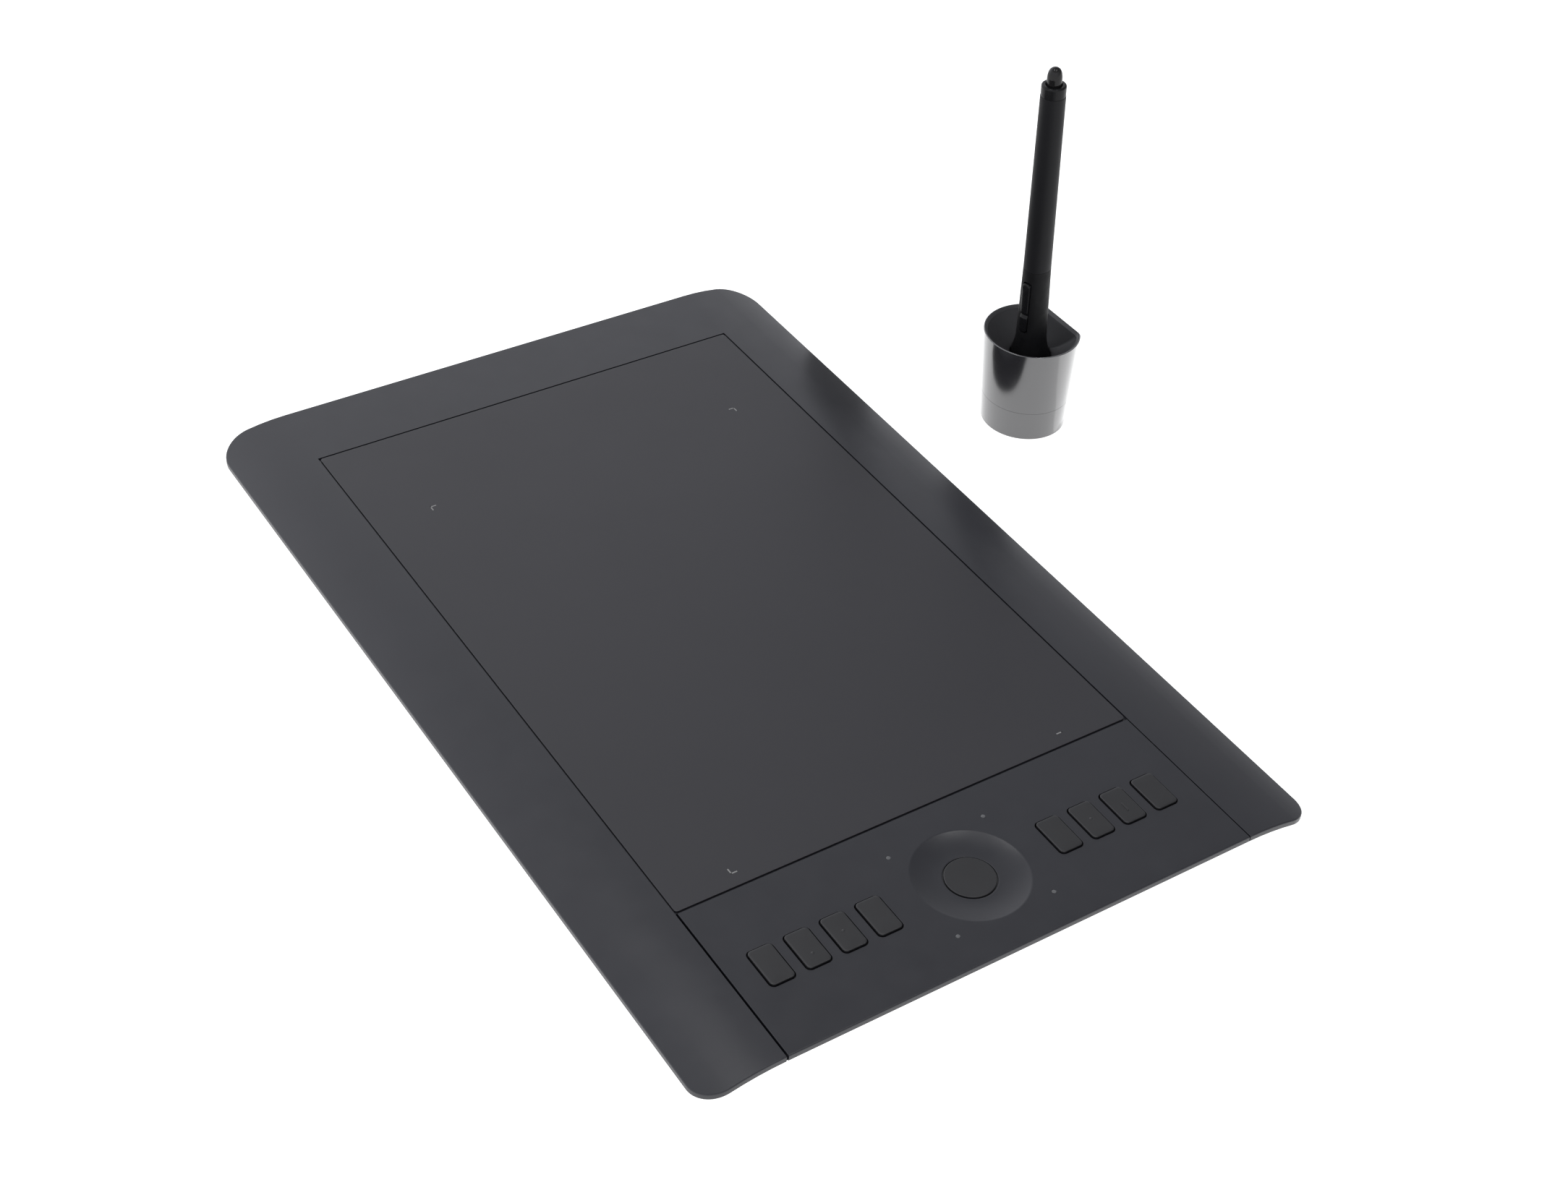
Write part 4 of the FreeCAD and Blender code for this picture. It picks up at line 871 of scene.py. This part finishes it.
def one_flat(radius, flat, corner, middle):
    """A round outline with one flat side towards -Y, joined to it by rounded corners."""
    across = math.sqrt((radius - corner) ** 2 - (flat - corner) ** 2)
    lean = math.atan2(-(flat - corner), across)
    ring = []
    for step in range(10):
        turn = -math.pi / 2 + (lean + math.pi / 2) * step / 10
        ring.append((across + corner * math.cos(turn), middle - flat + corner + corner * math.sin(turn)))
    for step in range(91):
        turn = lean + (math.pi - 2 * lean) * step / 90
        ring.append((radius * math.cos(turn), middle + radius * math.sin(turn)))
    for step in range(1, 11):
        turn = math.pi - lean + (lean + math.pi / 2) * step / 10
        ring.append((-across + corner * math.cos(turn), middle - flat + corner + corner * math.sin(turn)))
    return ring + [(across * (step / 4 - 1), middle - flat) for step in range(1, 8)]


def stand_plan(inset, height):
    """The stand's plan at a height: wider towards the rim, its flat face upright."""
    part = height / STAND_TOP
    radius, flat, middle = 18 + 2.2 * part, 14.9 + 1.6 * part, 1.6 * part - 0.8
    return one_flat(radius - inset, flat - inset, max(4.5 - inset / 2, 0.5), middle)


def stand_pieces():
    """The stand: a rubber foot, the base up to the seam, the cup above it and the liner inside the cup."""
    x, y, _ = joint("stand_twist")["pos_m"]
    at = Matrix.Translation((x, y, 0))
    foot_top = 0.8
    foot = eased([(2.4, 0.35), (1.9, 0, 0.2), (1.2, 0, 0.2), (1.2, foot_top)], 3)
    item = solid("stand_foot_piece", [moulded(stand_plan, foot)], at)
    place(item, "stand_base", "foot_rubber", "stand_foot")

    base_top = STAND_SEAM - SEAM_HALF
    base = eased([(5, foot_top), (0, foot_top, 0.35), (0, base_top, 0.04), (4.6, base_top)], 5)
    outer = [[(a, b, z) for a, b in stand_plan(inset, z)] for inset, z in base]
    well = [[(a, b, z) for a, b in one_flat(13.4, 13.39, 1, 0)] for z in (base_top, 4.9)]
    item = solid("stand_base_piece", [skin(outer + well)], at)
    place(item, "stand_base", "gloss_black", "stand_base")

    wall, cup_low, ledge = 1.0, STAND_SEAM + SEAM_HALF, 43.4
    cup = eased([(0, cup_low, 0.04), (0, STAND_TOP, 0.32), (0.5, STAND_TOP, 0.1), (0.5, ledge), (wall, 42.9),
                 (wall, cup_low)], 6, True)
    item = solid("stand_cup_piece", [moulded(stand_plan, cup, True)], at)
    place(item, "stand_cup", "gloss_black", "stand_cup")

    # the liner: up inside the cup's wall, over a soft lip, down the bowl and into the pen's throat
    lip, bowl_top, bowl_low = 44.35, 43.1, 33.5
    rim = stand_plan(1.8, bowl_top)
    throat = one_flat(9.1, 8.9, 3, 0)
    edge = [(wall + 0.05, 14.7), (wall + 0.05, 42.85), (0.54, ledge)]
    edge += eased([(0.54, ledge), (0.54, lip, 0.1), (0.8, lip, 0.2), (1.65, 43.5, 0.2), (1.8, bowl_top)], 5)
    rings = [[(a, b, z) for a, b in stand_plan(inset, z)] for inset, z in edge]
    for step in range(21):
        out = 1 - step / 20
        turn = out * math.pi / 2
        share = 0.3 * math.sin(turn) + 0.7 * out
        height = bowl_low + (bowl_top - bowl_low) * (0.3 * (1 - math.cos(turn)) + 0.7 * out)
        rings.append([(a * share + c * (1 - share), b * share + e * (1 - share), height)
                      for (a, b), (c, e) in zip(rim, throat)])
    # round from here: down the funnel to its open end, then back up its hidden side
    turns = [math.atan2(b, a) for a, b in throat]
    inside, outside = [(8.75, bowl_low - 0.4), (8.4, 26.5), (5.6, 19.5), (2.4, 9)], [(3.3, 8.0), (5.4, 15.2)]
    for radius, height in inside + outside:
        rings.append([(radius * math.cos(turn), radius * math.sin(turn), height) for turn in turns])
    place(solid("stand_liner_piece", [skin(rings, True)], at), "stand_cup", "liner_plastic", "stand_liner")


# ------------------------------------------------------------------ build

make_camera()
make_room()
make_stage()
make_strips()
dress_cad_nodes()
for make in (drawing_surface, shortcut_keys, keys_panel, ring_button, light_pipes, casing, rubber_feet,
             case_screws, usb_socket, power_button, pen_pieces, stand_pieces):
    make()
bpy.context.scene.view_settings.view_transform = "Standard"
